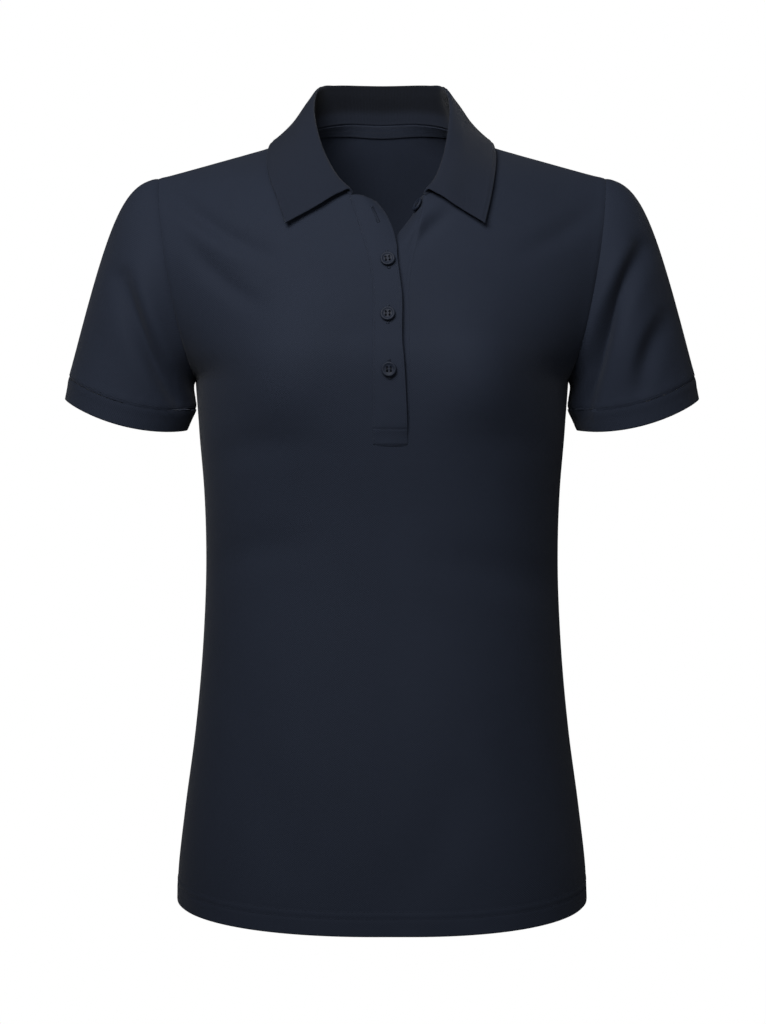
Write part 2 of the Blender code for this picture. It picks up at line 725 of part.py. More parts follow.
def placket_band(front, side):
    """The middle surface of one band, before it is moved off the panel."""
    keys, edge, _ = placket_edge(front, side)
    shape = smooth(PLACKET_BANDS, keys)
    reach, drop, turn = (shape[:, :3] if side == WEARERS_RIGHT else shape[:, 3:]).T
    opposite = placket_edge(front, -side)[1]
    free = edge + reach[:, None] * unit(opposite - edge) + np.column_stack([0 * turn, turn, -drop])
    steps = np.linspace(0, 1, BAND_STEPS + 1)
    grid = edge[:, None] + steps[None, :, None] * (free - edge)[:, None]
    near_top = np.clip((keys - BEND_START) / BEND_SPAN, 0, 1)
    bend = 1 - np.cos(math.pi / 2 * steps) - steps
    grid[..., 1] += (free - edge)[:, 1:2] * near_top[:, None] * bend[None]
    if side == WEARERS_LEFT:
        grid = grid[:, ::-1]
    return grid


def offset_grid(grid, distance):
    """Moves a grid along its own normals."""
    rows, columns = grid.shape[:2]
    points, faces = grid.reshape(-1, 3), strip_faces(rows, columns)
    normals = unit(face_weights(points, faces))
    return points + distance * normals, faces, normals


def make_plackets(front, materials):
    panel_face = PIQUE_WALL / 2
    top_grid = placket_band(front, WEARERS_RIGHT)
    under_grid = placket_band(front, WEARERS_LEFT)
    top_grid[:, 0] -= BAND_LAP * unit(top_grid[:, 1] - top_grid[:, 0])
    top = offset_grid(top_grid, panel_face + SEAM_GAP + PLACKET_WALL / 2)
    under = offset_grid(under_grid[1:], panel_face - PLACKET_WALL / 2)
    for name, (points, faces, normals) in (("placket_top", top), ("placket_under", under)):
        drawn = draw_in(points, faces, SEAM_GAP)
        shell = wall(drawn, faces, normals, normals, PLACKET_WALL)
        cloth_object(name, *shell, materials["pique"])


def make_neck_tape(back, materials):
    """A tape inside the back, from one shoulder's high point to the other, just under the collar's seam."""
    points, faces, normals, base = back
    surface = BVHTree.FromPolygons(points.tolist(), triangles(points, faces))
    stations = [station for station in collar_stations() if abs(station) <= TAPE_END]
    found = nearest(base, [smooth(both_sides(NECK_SEAM), station)[0] for station in stations])
    inside = PIQUE_WALL / 2 + 1.5 * SEAM_GAP + TAPE_WALL / 2
    grid = []
    for place, along in zip(points[found], np.gradient(points[found], axis=0)):
        _, normal, _, _ = surface.find_nearest(place.tolist())
        down = unit(np.cross(along, np.array(normal)))
        down = down if down[2] < 0 else -down
        for step in TAPE_STEPS:
            spot, normal, _, _ = surface.find_nearest((place + step * down).tolist())
            grid.append(np.array(spot) - inside * np.array(normal))
    grid = np.array(grid).reshape(len(stations), len(TAPE_STEPS), 3)[:, ::-1]
    tape = offset_grid(grid, 0)
    shell = wall(*tape, tape[2], TAPE_WALL)
    cloth_object("neck_tape", *shell, materials["tape"])


def button_mesh(material):
    """A turned button with four holes."""
    shape = bmesh.new()
    ring = [shape.verts.new((radius * MM, 0, height * MM)) for radius, height in BUTTON_PROFILE]
    edges = [shape.edges.new(pair) for pair in zip(ring, ring[1:])]
    bmesh.ops.spin(
        shape,
        geom=ring + edges,
        cent=(0, 0, 0),
        axis=(0, 0, 1),
        angle=math.tau,
        steps=BUTTON_SIDES,
        use_duplicate=False,
    )
    bmesh.ops.remove_doubles(shape, verts=shape.verts, dist=1e-6)
    bmesh.ops.recalc_face_normals(shape, faces=shape.faces)
    blank = bpy.data.meshes.new("button_blank")
    shape.to_mesh(blank)
    shape.free()
    drills = bmesh.new()
    for quarter in range(4):
        turn = math.radians(45 + 90 * quarter)
        place = Vector((math.cos(turn), math.sin(turn), 0)) * BUTTON_HOLE_OFFSET * math.sqrt(2) * MM
        bmesh.ops.create_cone(
            drills,
            cap_ends=True,
            segments=BUTTON_HOLE_SIDES,
            radius1=BUTTON_HOLE_RADIUS * MM,
            radius2=BUTTON_HOLE_RADIUS * MM,
            depth=8 * MM,
            matrix=Matrix.Translation(place),
        )
    cutter_mesh = bpy.data.meshes.new("button_drills")
    drills.to_mesh(cutter_mesh)
    drills.free()
    drilled = bpy.data.objects.new("button_blank", blank)
    cutter = bpy.data.objects.new("button_drills", cutter_mesh)
    for helper in (drilled, cutter):
        bpy.context.scene.collection.objects.link(helper)
    cut = drilled.modifiers.new("holes", "BOOLEAN")
    cut.operation = "DIFFERENCE"
    cut.object = cutter
    bpy.context.view_layer.update()
    mesh = bpy.data.meshes.new_from_object(drilled.evaluated_get(bpy.context.evaluated_depsgraph_get()))
    for helper in (drilled, cutter):
        bpy.data.objects.remove(helper)
    mesh.name = "button"
    mesh.materials.clear()
    mesh.materials.append(material)
    mesh.shade_smooth()
    mesh.set_sharp_from_angle(angle=math.radians(40))
    return mesh


def band_place(front, side, row, share):
    """A point of a band's middle line and the band's direction off the body there."""
    grid = placket_band(front, side)
    keys, _, _ = placket_edge(front, side)
    columns = np.linspace(0, 1, grid.shape[1])
    line = np.array([[np.interp(share, columns, section[:, axis]) for axis in range(3)] for section in grid])
    middle = smooth(np.column_stack([keys, line]), row)[0]
    below, above = smooth(np.column_stack([keys, line]), [row - 0.03, row + 0.03])
    upward = unit(above - below)
    section = smooth(np.column_stack([keys, grid.reshape(len(keys), -1)]), row)[0].reshape(-1, 3)
    sideways = unit(section[-1] - section[0])
    off = unit(np.cross(sideways, upward))
    return middle, off, upward


def make_buttons(front, materials):
    mesh = button_mesh(materials["button"])
    for name, row, share in BUTTONS:
        undone = name == "button_1"
        side = WEARERS_LEFT if undone else WEARERS_RIGHT
        middle, off, upward = band_place(front, side, row, share)
        panel_face = PIQUE_WALL / 2
        lift = panel_face + 2 * SEAM_GAP if undone else panel_face + PLACKET_WALL + 2 * SEAM_GAP
        place = Vector((middle + (lift + 0.15) * off) * MM)
        axes = Matrix((np.cross(upward, off).tolist(), upward.tolist(), off.tolist())).transposed()
        button = bpy.data.objects.new(name, mesh)
        button.location = place
        button.rotation_euler = axes.to_euler()
        bpy.context.scene.collection.objects.link(button)


def make_materials():
    made = {}
    for name, (colour, roughness) in MATERIALS.items():
        material = bpy.data.materials.new(name)
        material.use_nodes = True
        shader = material.node_tree.nodes["Principled BSDF"]
        shader.inputs["Base Color"].default_value = (*colour, 1)
        shader.inputs["Roughness"].default_value = roughness
        shader.inputs["Metallic"].default_value = 0
        made[name] = material
    return made


def main():
    for existing in list(bpy.data.objects):
        bpy.data.objects.remove(existing)
    materials = make_materials()
    pieces = {"front": front_panel(), "back": back_panel(), "collar": collar()}
    for side, name in SIDE_NAMES.items():
        pieces[f"sleeve_{name}"] = sleeve(side)
        pieces[f"cuff_{name}"] = cuff(side)
    base = {name: points for name, (points, _) in pieces.items()}
    pieces = drape(pieces)
    for side, name in SIDE_NAMES.items():
        points, faces = pieces[f"sleeve_{name}"]
        pieces[f"sleeve_{name}"] = (ease_sleeve(points, side), faces)
    shared, own = shared_normals(pieces)
    body, _ = shared_normals({name: pieces[name] for name in ("front", "back")})
    normals = {
        name: part_normals(name, points, shared[name], body.get(name), own[name])
        for name, (points, _) in pieces.items()
    }
    for name, (points, faces) in pieces.items():
        material, thickness = CLOTHS.get(name.split("_")[0], ("pique", PIQUE_WALL))
        drawn = draw_in(points, faces, 0.6 * SEAM_GAP)
        shell = wall(drawn, faces, normals[name], own[name], thickness)
        cloth_object(name, *shell, materials[material])
    front = (pieces["front"][0], normals["front"], base["front"])
    make_plackets(front, materials)
    make_neck_tape((*pieces["back"], normals["back"], base["back"]), materials)
    make_buttons(front, materials)


main()
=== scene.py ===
"""The polo shirt as it looks: fine shells of pique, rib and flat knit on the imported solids' form.

Lengths in the tables are millimetres and angles are degrees. X points to the wearer's left, Y to the back
and Z up. The middle surface of each panel is a fan of rows, and each row is one Bezier curve from the panel's
inner edge (centre, placket or neck) to its outer edge (side seam or armhole). The folds, the seams' dips and
the hem's fullness are then moved out of that surface.
"""

import math

import bpy
import numpy as np
from mathutils import Matrix, Vector
from mathutils.bvhtree import BVHTree

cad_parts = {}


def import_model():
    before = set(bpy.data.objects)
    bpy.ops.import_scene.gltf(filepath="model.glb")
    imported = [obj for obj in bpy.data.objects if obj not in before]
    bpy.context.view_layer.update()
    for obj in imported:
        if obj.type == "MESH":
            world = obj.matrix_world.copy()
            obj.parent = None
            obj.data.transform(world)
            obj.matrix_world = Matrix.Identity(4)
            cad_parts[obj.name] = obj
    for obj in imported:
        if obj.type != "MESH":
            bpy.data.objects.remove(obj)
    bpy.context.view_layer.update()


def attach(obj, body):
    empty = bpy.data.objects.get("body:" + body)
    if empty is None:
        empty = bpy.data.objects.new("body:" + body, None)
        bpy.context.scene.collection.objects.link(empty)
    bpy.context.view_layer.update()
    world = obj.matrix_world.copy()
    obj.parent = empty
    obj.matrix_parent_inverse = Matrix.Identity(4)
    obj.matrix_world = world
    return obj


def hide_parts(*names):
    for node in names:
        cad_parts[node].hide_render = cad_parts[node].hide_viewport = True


MM = 0.001

# Cloth thicknesses as they show, and how far the bands stand off the front.
PIQUE, RIB, FLAT_KNIT, BAND, TAPE = 1.1, 1.8, 1.8, 1.3, 0.9
BAND_LIFT = 0.25

# Sides of the body, along X, and faces of the body, along Y.
WEARERS_RIGHT, WEARERS_LEFT = -1, 1
FRONT, BACK = -1, 1
SIDE_NAMES = {WEARERS_RIGHT: "right", WEARERS_LEFT: "left"}

# A row's number says how high it lies: 0 is the hem, 1 the underarm and 2 the shoulder seam.
WINDOW_FOOT, UNDERARM, COLLAR_END, SHOULDER = 0.92, 1.0, 1.6, 2.0
HEM_ROWS = np.r_[0, 0.0012, 0.003, np.arange(0.006, 0.0601, 0.0024)]
LOW_ROWS = np.unique(np.r_[HEM_ROWS, np.linspace(0.068, UNDERARM, 118), WINDOW_FOOT].round(5))
# rows that only the collar's rounded ends need, laid evenly between their neighbours
FINE_ROWS = (1.601, 1.603, 1.6065)
HIGH_ROWS = np.unique(np.r_[np.linspace(UNDERARM, SHOULDER, 91)[1:], FINE_ROWS, 1.9955, 1.998].round(5))
CHEST_ROWS = HIGH_ROWS[HIGH_ROWS <= COLLAR_END]
PANEL_ROWS = np.r_[LOW_ROWS, HIGH_ROWS]
# points of the curves that rows, sleeve lines and the collar's section are measured along
PANEL_CURVE_STEPS, SLEEVE_CURVE_STEPS, COLLAR_CURVE_STEPS = 241, 161, 400
# distances from a panel's side edges where its columns begin, before they are evenly spaced
EDGE_COLUMNS = (0, 0.5, 1.2, 2.2, 3.6, 5.4)
HALF_COLUMNS = 64
WINDOW_COLUMNS = 12

# row, half width, depth, height
SIDE_SEAM = (
    (0.00, 162.6, 0, -614),
    (0.06, 162.0, 0, -593),
    (0.18, 156.6, 0, -543),
    (0.33, 148.3, 0, -480),
    (0.52, 141.6, 0, -401),
    (0.64, 139.8, 0, -350),
    (0.79, 141.4, 0, -288),
    (0.90, 145.4, 1, -242),
    (1.00, 148.5, 4, -200),
)

# ring, half width, depth, height: the ring starts at the underarm, and the shoulder's tip is halfway round
ARMHOLE = (
    (0.0, 148.5, 4, -200),
    (0.1, 154.5, -28, -183),
    (0.2, 163.0, -43, -150),
    (0.3, 171.0, -43, -108),
    (0.4, 176.5, -25, -69),
    (0.5, 179.0, 4, -39.5),
    (0.6, 177.5, 32, -66),
    (0.7, 172.0, 51, -106),
    (0.8, 164.0, 51, -148),
    (0.9, 154.5, 36, -182),
)

# row, edge of the wearer's right front, edge of the left front, depth, height
FRONT_EDGES = (
    (0.00, -5.6, 21.0, -121.0, -631.5),
    (0.13, -5.6, 21.0, -119.5, -576.0),
    (0.30, -5.6, 21.0, -114.0, -503.5),
    (0.45, -5.6, 21.0, -108.5, -439.5),
    (0.60, -5.6, 21.0, -105.0, -375.5),
    (0.74, -5.6, 21.0, -107.5, -315.8),
    (0.86, -5.6, 21.0, -114.5, -264.7),
    (0.92, -5.6, 21.0, -118.5, -239.0),
    (1.00, -5.6, 21.0, -121.5, -205.0),
    (1.20, -5.6, 21.0, -115.0, -163.0),
    (1.35, -6.2, 21.4, -104.0, -128.0),
    (1.42, -9.0, 24.0, -98.0, -110.0),
    (1.50, -15.0, 29.5, -88.0, -88.0),
    (1.55, -19.5, 32.5, -82.0, -74.0),
    (1.60, -24.0, 34.0, -76.0, -60.0),
)

# row, depth, height: the middle of the back
BACK_CENTRE = (
    (0.00, 106, -619),
    (0.20, 103, -536),
    (0.40, 90, -453),
    (0.60, 78, -371),
    (0.80, 87, -288),
    (1.00, 99, -205),
    (1.20, 102, -148),
    (1.40, 91, -68),
    (1.60, 60, 10),
)

# row, leave, leave angle, arrive, arrive angle, rise leaving, rise arriving: how a row leaves the inner edge
# and reaches the outer one, as shares of its span; angles are in plan, and 90 heads straight round the side
FRONT_ROWS = (
    (0.0, 0.50, 0, 0.36, 90, 0.00, 0.50),
    (0.6, 0.46, 0, 0.36, 90, 0.00, 0.45),
    (0.9, 0.49, 0, 0.37, 88, 0.00, 0.35),
    (1.0, 0.48, 0, 0.36, 84, 0.00, 0.40),
    (1.1, 0.46, 0, 0.34, 79, 0.05, 0.50),
    (1.2, 0.43, 0, 0.32, 71, 0.10, 0.60),
    (1.4, 0.40, 0, 0.30, 52, 0.20, 0.65),
    (1.6, 0.36, 2, 0.30, 38, 0.30, 0.67),
    (1.8, 0.34, 6, 0.30, 20, 0.40, 0.70),
    (2.0, 0.33, 0, 0.33, 2, 0.28, 0.67),
)
BACK_ROWS = (
    (0.0, 0.50, 0, 0.36, 90, 0.00, 0.50),
    (0.6, 0.46, 0, 0.36, 90, 0.00, 0.45),
    (0.9, 0.50, 0, 0.38, 92, 0.00, 0.35),
    (1.0, 0.50, 0, 0.37, 96, 0.00, 0.40),
    (1.1, 0.48, 0, 0.35, 86, 0.05, 0.50),
    (1.2, 0.46, 1, 0.33, 74, 0.10, 0.56),
    (1.4, 0.42, 4, 0.30, 58, 0.22, 0.62),
    (1.6, 0.34, 14, 0.28, 40, 0.42, 0.74),
    (1.8, 0.34, 12, 0.30, 22, 0.52, 0.78),
    (2.0, 0.33, 0, 0.33, -2, 0.28, 0.67),
)

# station, half width on the wearer's right, half width on the left, depth, height; the stations run from the
# middle of the back (0) over the high point of the shoulder (1) to the collar's front end (2)
NECK_SEAM = (
    (0.0, 0, 0, 60, 10),
    (0.3, 30, 30, 55, 10.4),
    (0.6, 54, 54, 40, 5.0),
    (1.0, 66, 66, 5, -10.5),
    (1.4, 57, 58, -41, -31),
    (1.7, 42, 47, -63, -48),
    (2.0, 24, 34, -76, -60),
)
COLLAR_FOLD = (
    (0.0, 0, 0, 66, 41.8),
    (0.3, 29, 29, 63, 42),
    (0.5, 45.5, 45.5, 55, 41),
    (0.7, 52, 52, 42, 37),
    (1.0, 55, 55, 10, 22.5),
    (1.3, 53, 54, -24, 1),
    (1.55, 46, 50, -49, -23),
    (1.8, 35, 43, -68, -44),
    (2.0, 25, 35, -77.5, -55),
)
COLLAR_EDGE = (
    (0.0, 0, 0, 85, -12),
    (0.3, 30, 30, 82, -12),
    (0.6, 62, 62, 69, -12),
    (0.8, 79, 79, 48, -9.9),
    (1.0, 86.8, 86.8, 22, -9.4),
    (1.2, 90, 89.5, 0, -13.0),
    (1.4, 91.5, 90.5, -27, -26.5),
    (1.6, 88.5, 88.5, -53, -43),
    (1.8, 81, 84.5, -75, -63.5),
    (2.0, 75, 80, -90, -82),
)
FOLD_ROLL = 2.4
FOLD_REACH = 7.0
LEAF_CROWN = 0.6
# how far the leaf's points settle onto the front, and how far from the point that reaches
LEAF_SETTLE, LEAF_SETTLE_REACH = 4.0, 30.0

# The sleeve's end, where the cuff is sewn on, and the cuff's lower rim: two tilted ellipses.
CUFF_CENTRE = (205.2, 8.0, -228.0)
CUFF_TILT, CUFF_LEAN = 14.4, 17.5
CUFF_HEIGHT = 18.0
CUFF_DRAW_POWER = 0.7  # how soon above its rim the cuff is as narrow as the sleeve's end
SLEEVE_END_RADII = (52.3, 50.0)
CUFF_RIM_RADII = (49.8, 47.5)
CUFF_DIP_FRONT, CUFF_DIP_BACK = 10.2, 3.0

# ring, outward, backward, upward, leave, arrive: how the sleeve leaves the armhole, and how long it heads
# that way and then along the arm
SLEEVE_HEAD = (
    (0.00, 0.45, 0.10, -1.00, 8, 8),
    (0.10, 0.55, -0.35, -0.80, 20, 14),
    (0.20, 0.80, -0.40, -0.50, 30, 24),
    (0.35, 0.92, -0.28, -0.30, 33, 74),
    (0.50, 0.97, 0.00, -0.12, 29, 128),
    (0.65, 0.92, 0.28, -0.30, 33, 74),
    (0.80, 0.80, 0.40, -0.50, 30, 24),
    (0.90, 0.55, 0.35, -0.80, 20, 14),
)

# The front's fullness: across, height, spread across, spread above, spread below, swell.
CHEST_FULLNESS = (74, -202, 37, 56, 42, 11)

# How much a fold keeps of its depth at its ends, and how fast it fades where the cloth turns to the side.
FOLD_END_SHARE, FACING_GAIN, FACING_POWER = 0.35, 1.6, 1.5

# across and height of one end, across and height of the other, bow, width, depth: the largest folds, as seen
# from that face; a negative depth is a trough
FRONT_FOLDS = (
    (-172, -48, -86, -110, -5, 8, -4.4),
    (-160, -72, -92, -116, -4, 8, 1.8),
    (-152, -96, -92, -148, -4, 8, -3.2),
    (-206, -122, -152, -227, -6, 9, -10.0),
    (-192, -120, -166, -186, -2, 7, 1.8),
    (206, -98, 157, -230, -5, 9, -13.5),
    (195, -98, 150, -216, -5, 7, 3.0),
    (215, -146, 190, -214, -4, 9, 2.6),
    (224, -152, 204, -204, -3, 9, -4.4),
    (172, -62, 110, -104, 3, 9, -2.0),
    (-140, -268, -60, -250, 6, 14, -1.8),
    (140, -262, 48, -246, -6, 14, -1.0),
    (-138, -352, -60, -330, 6, 16, -2.0),
    (139, -372, 52, -344, -6, 18, -2.4),
    (148, -560, 96, -470, 8, 20, -2.6),
    (-60, -600, -96, -470, 8, 24, -2.0),
    (10, -612, 64, -500, -8, 24, -2.2),
    (16, -99, 43, -69, 3, 5.5, 2.8),
    (24, -103, 52, -75, 2, 5.5, -2.6),
)
OPENING_FOLDS = FRONT_FOLDS[-2:]
COLLAR_FOLD_REACH = 9.0  # how far up the collar the folds that meet its seam go
BACK_FOLDS = (
    (-170, -92, -88, -150, 6, 12, -3.2),
    (168, -100, 92, -142, -6, 12, -2.8),
    (-140, -320, -30, -352, 6, 14, -3.4),
    (138, -334, 36, -366, -6, 14, -3.0),
    (-139, -372, -40, -392, 5, 14, -2.6),
    (140, -386, 28, -404, -5, 15, -3.0),
    (-60, -600, -40, -440, 6, 22, -2.8),
    (76, -604, 58, -450, -6, 22, -2.4),
    (-208, -118, -150, -222, 8, 12, -5.0),
    (204, -108, 150, -222, -8, 12, -5.6),
    (-222, -160, -196, -214, 4, 10, -3.0),
    (226, -156, 200, -212, -4, 10, -2.6),
)

# row, reach of the upper band from the right front's edge, its drop and its turn inwards; then the same for
# the under band from the left front's edge
PLACKET_BANDS = (
    (0.85, 26.0, 0.0, 0.0, 24.6, 0.0, 0.0),
    (0.90, 25.4, 0.0, 0.0, 24.6, 0.0, 0.0),
    (0.99, 23.8, 0.0, 0.0, 24.6, 0.0, 0.0),
    (1.03, 23.0, 0.0, 0.0, 24.6, 0.0, 0.0),
    (1.11, 21.4, 0.0, 0.0, 24.6, 0.0, 0.0),
    (1.28, 21.0, 0.0, 0.0, 24.4, 0.0, 0.0),
    (1.36, 20.2, 0.0, 0.0, 24.0, 0.0, 0.6),
    (1.42, 20.4, 0.4, -0.4, 23.0, 0.0, 2.2),
    (1.46, 22.2, 1.4, -0.8, 20.8, 0.2, 4.6),
    (1.50, 23.2, 2.8, -0.8, 17.6, 0.6, 9.0),
    (1.55, 21.8, 4.4, -0.2, 10.5, 1.0, 15.0),
    (1.60, 17.6, 6.0, 1.0, 6.5, 2.0, 17.5),
)
BAND_FOOT = 0.879
# the rows between which the bands bend out of the front's plane towards the open neck
BEND_START, BEND_SPAN = 1.36, 0.2
SLEEVE_STEPS = 66
SHORT_SLEEVE = 30.0  # a sleeve line shorter than this has its edge columns drawn together
CUFF_STEPS = 18
CUFF_EDGES = (0, 0.25, 0.7, 1.4)
COLLAR_STEPS = 72
COLLAR_EDGES = (0, 0.2, 0.6, 1.2, 2.0, 3.0)
LEAF_LINE = -8  # the line of the leaf that the collar's length is measured along
BAND_STEPS = 22
BAND_BOX_SPAN = 0.05  # the rows that the box of stitches at the band's foot takes
BAND_BOX_ROWS, BAND_ROWS = 70, 250  # lines across the band in that box, and above it
# rows of stitches on the upper band: distances from its sewn edge, or below zero from its free edge; then the
# box's two rows above the band's foot
BAND_STITCH_LINES = (1.7, -1.7)
BOX_STITCH_LINES = (1.5, 14.0)
BOX_COLUMNS = slice(6, -6)
BAND_STITCH_PITCH = 2.6
# how far the upper band's rolled top edge turns inwards, its top edge bows up, its middle stands proud, and
# its free edge stands off the under band
BAND_ROLL, BAND_TOP_BULGE, BAND_BULGE, BAND_STAND_OFF = 3.2, 2.4, 0.6, 1.5
# how far the under band's middle lies below the upper band's free edge, and over what width it gets there
UNDER_BAND_RECESS, RECESS_REACH = 1.7, 3.5
TOP_BUTTONHOLE = (1.545, 0.6)

# kind of piece: thickness, material and slot, what the piece is called after its node
CLOTHS = {
    "front": (PIQUE, "pique", "cloth"),
    "back": (PIQUE, "pique", "cloth"),
    "sleeve": (PIQUE, "pique", "cloth"),
    "collar": (FLAT_KNIT, "flat_knit", "knit"),
    "cuff": (RIB, "rib_knit", "knit"),
}

# Under the arm the sleeve lies back against the body: the heights between which the crease deepens, and the
# sleeve's clearance there.
CREASE_HEIGHTS = (-120, -178)
CREASE_CLEARANCE, CREASE_START, CREASE_REACH = 1.3, 4.0, 45.0

NAVY = (0.0170, 0.0225, 0.0380)
PAINTED_SHADE_STAND_HEIGHT = 37.0  # how far up the collar strip its stand reaches, where shade is painted into its colour
# the painted shade on the stand, where it lies in shadow inside the collar: how deep, where up the strip it
# starts and is full, from what share, and where it ends on both sides of the back's middle
PAINTED_STAND_SHADE, PAINTED_STAND_SHADE_START, PAINTED_STAND_SHADE_FOOT, PAINTED_STAND_SHADE_ENDS = -2.1, (6, 14), 0.45, (84, 104)
PAINTED_STAND_SHADE_EDGE = (-6, 2)  # about the stand's top, where the painted shade fades out
# Pitches of the pique's cells and loops, across and up, of a rib's loops, and of the tape's twill and zigzag.
PIQUE_CELLS, PIQUE_LOOPS, RIB_LOOPS, TAPE_TWILL, TAPE_ZIGZAG = (2.1, 1.7), (0.7, 0.55), 0.75, 1.1, 4.0
CUFF_RIB, COLLAR_RIB = 1.5, 1.2
COLLAR_NAVY = (0.0145, 0.0190, 0.0322)
TAPE_NAVY = (0.0180, 0.0235, 0.0390)
THREAD_NAVY = (0.019, 0.025, 0.041)
BUTTON_THREAD_NAVY = (0.0076, 0.0100, 0.0164)
BUTTON_NAVY = (0.0135, 0.018, 0.031)

# The camera looks level along +Y: its image width, what one pixel covers at the shoulders' plane, its place.
IMAGE_WIDTH = 766
SENSOR_WIDTH = 36.0
MM_PER_PIXEL = 0.8
CAMERA_DISTANCE = 2800.0
CAMERA_ACROSS, CAMERA_HEIGHT = 0.8, -306.0

# name, place and aim in metres, width and height, power, angle of its spread
LIGHTS = (
    ("key", (-0.5, -1.35, 0.82), (0, 0, 0.12), (1.0, 0.9), 7.0, 85),
    ("overhead", (-0.2, -1.2, 1.1), (0, 0, -0.05), (1.2, 0.9), 1.5, 120),
    ("fill", (1.1, -2.5, 0.1), (0, 0, -0.2), (1.4, 1.4), 7.2, 180),
    ("right_edge", (2.3, -0.7, 0.5), (0, 0, -0.3), (1.4, 1.8), 1.5, 180),
    ("left_edge", (-2.3, -0.7, 0.5), (0, 0, -0.3), (1.4, 1.8), 3, 180),
)
WORLD_LIGHT, WORLD_TINT = 0.02, (0.93, 0.96, 1.0, 1)
FLOOR_GREY = (0.82, 0.82, 0.82, 1)
FLOOR_HEIGHT = -1350.0
FLOOR_REACH = 1600.0

BAND_LAP = 1.6
# distances from a band's edges where its lines begin
BAND_EDGE = (0, 0.15, 0.5, 1.1)

# Steps down from the neck's seam to the tape's edges, and the station where it ends.
TAPE_TOP, TAPE_FOOT = 0.6, 11.2
TAPE_END = 0.97
TAPE_GAP = 0.3  # between the tape and the back
TAPE_STEPS = 12
TAPE_EDGES = (0, 0.15, 0.5, 1.2)

# row and share of the band's reach where each button sits; the first is undone and sits on the under band
BUTTONS = (
    ("button_1", 1.57, 0.52),
    ("button_2", 1.413, 0.66),
    ("button_3", 1.236, 0.52),
    ("button_4", 1.025, 0.52),
)
UNDONE_BUTTON = "button_1"
BUTTONHOLE = (13.2, 1.3)  # length and half width
# its satin stitches: from the slit, how far apart, how thick, how deep their ends, how high and how slanting
SLIT_HALF_WIDTH, SATIN_PITCH, SATIN_RADIUS = 0.25, 0.55, 0.24
SATIN_SINK, SATIN_RISE, SATIN_SLANT = 0.1, 0.22, 0.15
BAR_STITCHES, BAR_START, BAR_PITCH, BAR_RISE = 4, 0.1, 0.3, 0.25  # the bars that close its ends
NEAR_ROW = 0.03  # how far up and down a band its direction is read
BUTTON_SIDES = 72
BUTTON_STAND = 0.75  # how far a button's back stands off the band
BUTTON_HOLE_RADIUS, BUTTON_HOLE_OFFSET, BUTTON_HOLE_SIDES = 0.85, 1.45, 20
BUTTON_DRILL_SPAN = (-2, 5)  # heights between which the holes are drilled
BUTTON_BEVEL = 0.12
BUTTON_BEVEL_FROM, BUTTON_SHARP_FROM = 45, 35  # the least angles of an edge that is bevelled or stays sharp
# a button's thread: its lowest height over the button's back, its rise, its lean aside, and its radius
THREAD_FOOT, THREAD_RISE, THREAD_LEAN, THREAD_RADIUS = 1.15, 0.75, 0.22, 0.2
# radius and height of the turned profile, from the middle of the back to the middle of the dished face
BUTTON_PROFILE = (
    (0, 0),
    (4.2, 0),
    (5.2, 0.25),
    (5.65, 0.8),
    (5.75, 1.3),
    (5.62, 1.8),
    (5.25, 2.15),
    (4.75, 2.25),
    (4.25, 2.12),
    (3.85, 1.8),
    (3.5, 1.6),
    (2.6, 1.5),
    (0, 1.46),
)

# Seams: how deep and how wide the cloth dips towards them, the shares of that at flatter seams, and the low
# ridge beside a seam: its height, also at the sides, its place and its width.
SEAM_DIP, SEAM_REACH, SHALLOW_SEAM, CUFF_SEAM = 0.42, 1.2, 0.6, 0.9
SEAM_RIDGE, SIDE_RIDGE, RIDGE_PLACE, RIDGE_WIDTH = 0.18, 0.34, 4.2, 2.4
# The gather above the cuff, the cuff's ribs, and the row of stitches above the sleeve's lower edge.
GATHER, GATHER_REACH, GATHER_SIZE = 0.16, 12.0, 13.0
CUFF_RIB_DEPTH, CUFF_RIB_PITCH = 0.07, 2.6
CUFF_STITCH_LINE = -2.2
# The collar: where its leaf starts, as a share of the strip, and over what width. The height, place and width
# of the welt and the groove along its free edges. Its wave, and the dip at the neck's seam.
LEAF_START, LEAF_START_WIDTH, FAR_FROM_EDGE = 0.55, 3, 30
LEAF_WELT = ((0.28, 1.6, 1.3), (-0.22, 4.2, 1.0))
LEAF_WAVE, LEAF_WAVE_SIZE = 0.35, 85.0
NECK_DIP, NECK_DIP_WIDTH = 0.3, 1.4
# The upper band: how far it is pressed down where it is sewn, how its foot is tucked against the front, the
# dips along its stitches, and its wave.
BAND_PRESS, PRESS_REACH = 0.85, 5.0
TUCK_DEPTH, TUCK_REACH = 0.1, 1.4
STITCH_DIP, BOX_DIP, STITCH_DIP_WIDTH = 0.22, 0.26, 0.9
BAND_WAVE, BAND_WAVE_SIZE = 0.12, 21.0
THIN_EDGE = 0.15  # the share of a wall's thickness that is left at its free edge
# The hem: the fold's height, the two rows of stitches above the edge, how far the double cloth stands out,
# how the stitches pull it in and pucker it, and its wave.
HEM_HEIGHT = 19.5
HEM_STITCH_LINES = (19.0, 13.5)
HEM_FULLNESS, HEM_STEP = 0.35, 0.5
HEM_PULL, HEM_PULL_WIDTH, HEM_PUCKER, HEM_PUCKER_SIZE = 0.28, 1.2, 0.08, 9.0
HEM_WAVE, HEM_WAVE_HEIGHT, HEM_WAVE_WIDTH, HEM_WAVE_SIZE = 0.22, 9.0, 8.0, 34.0
# A stitch: its size, and where its points lie along it and above the cloth, as shares of half its length and
# of its height.
STITCH_PITCH, STITCH_LENGTH, STITCH_RADIUS, STITCH_HEIGHT = 3.0, 2.3, 0.2, 0.08
STITCH_POINTS = (-1, -0.55, 0, 0.55, 1)
STITCH_ARCH = (-1.6, 0.5, 1, 0.5, -1.6)
# A thread's ends: the shares of it between which it swells, how soon it is full, and how thin it starts.
THREAD_SWELL, THREAD_FULLNESS, THREAD_TIP = (0.06, 0.94), 2.2, 0.25


# Curves.


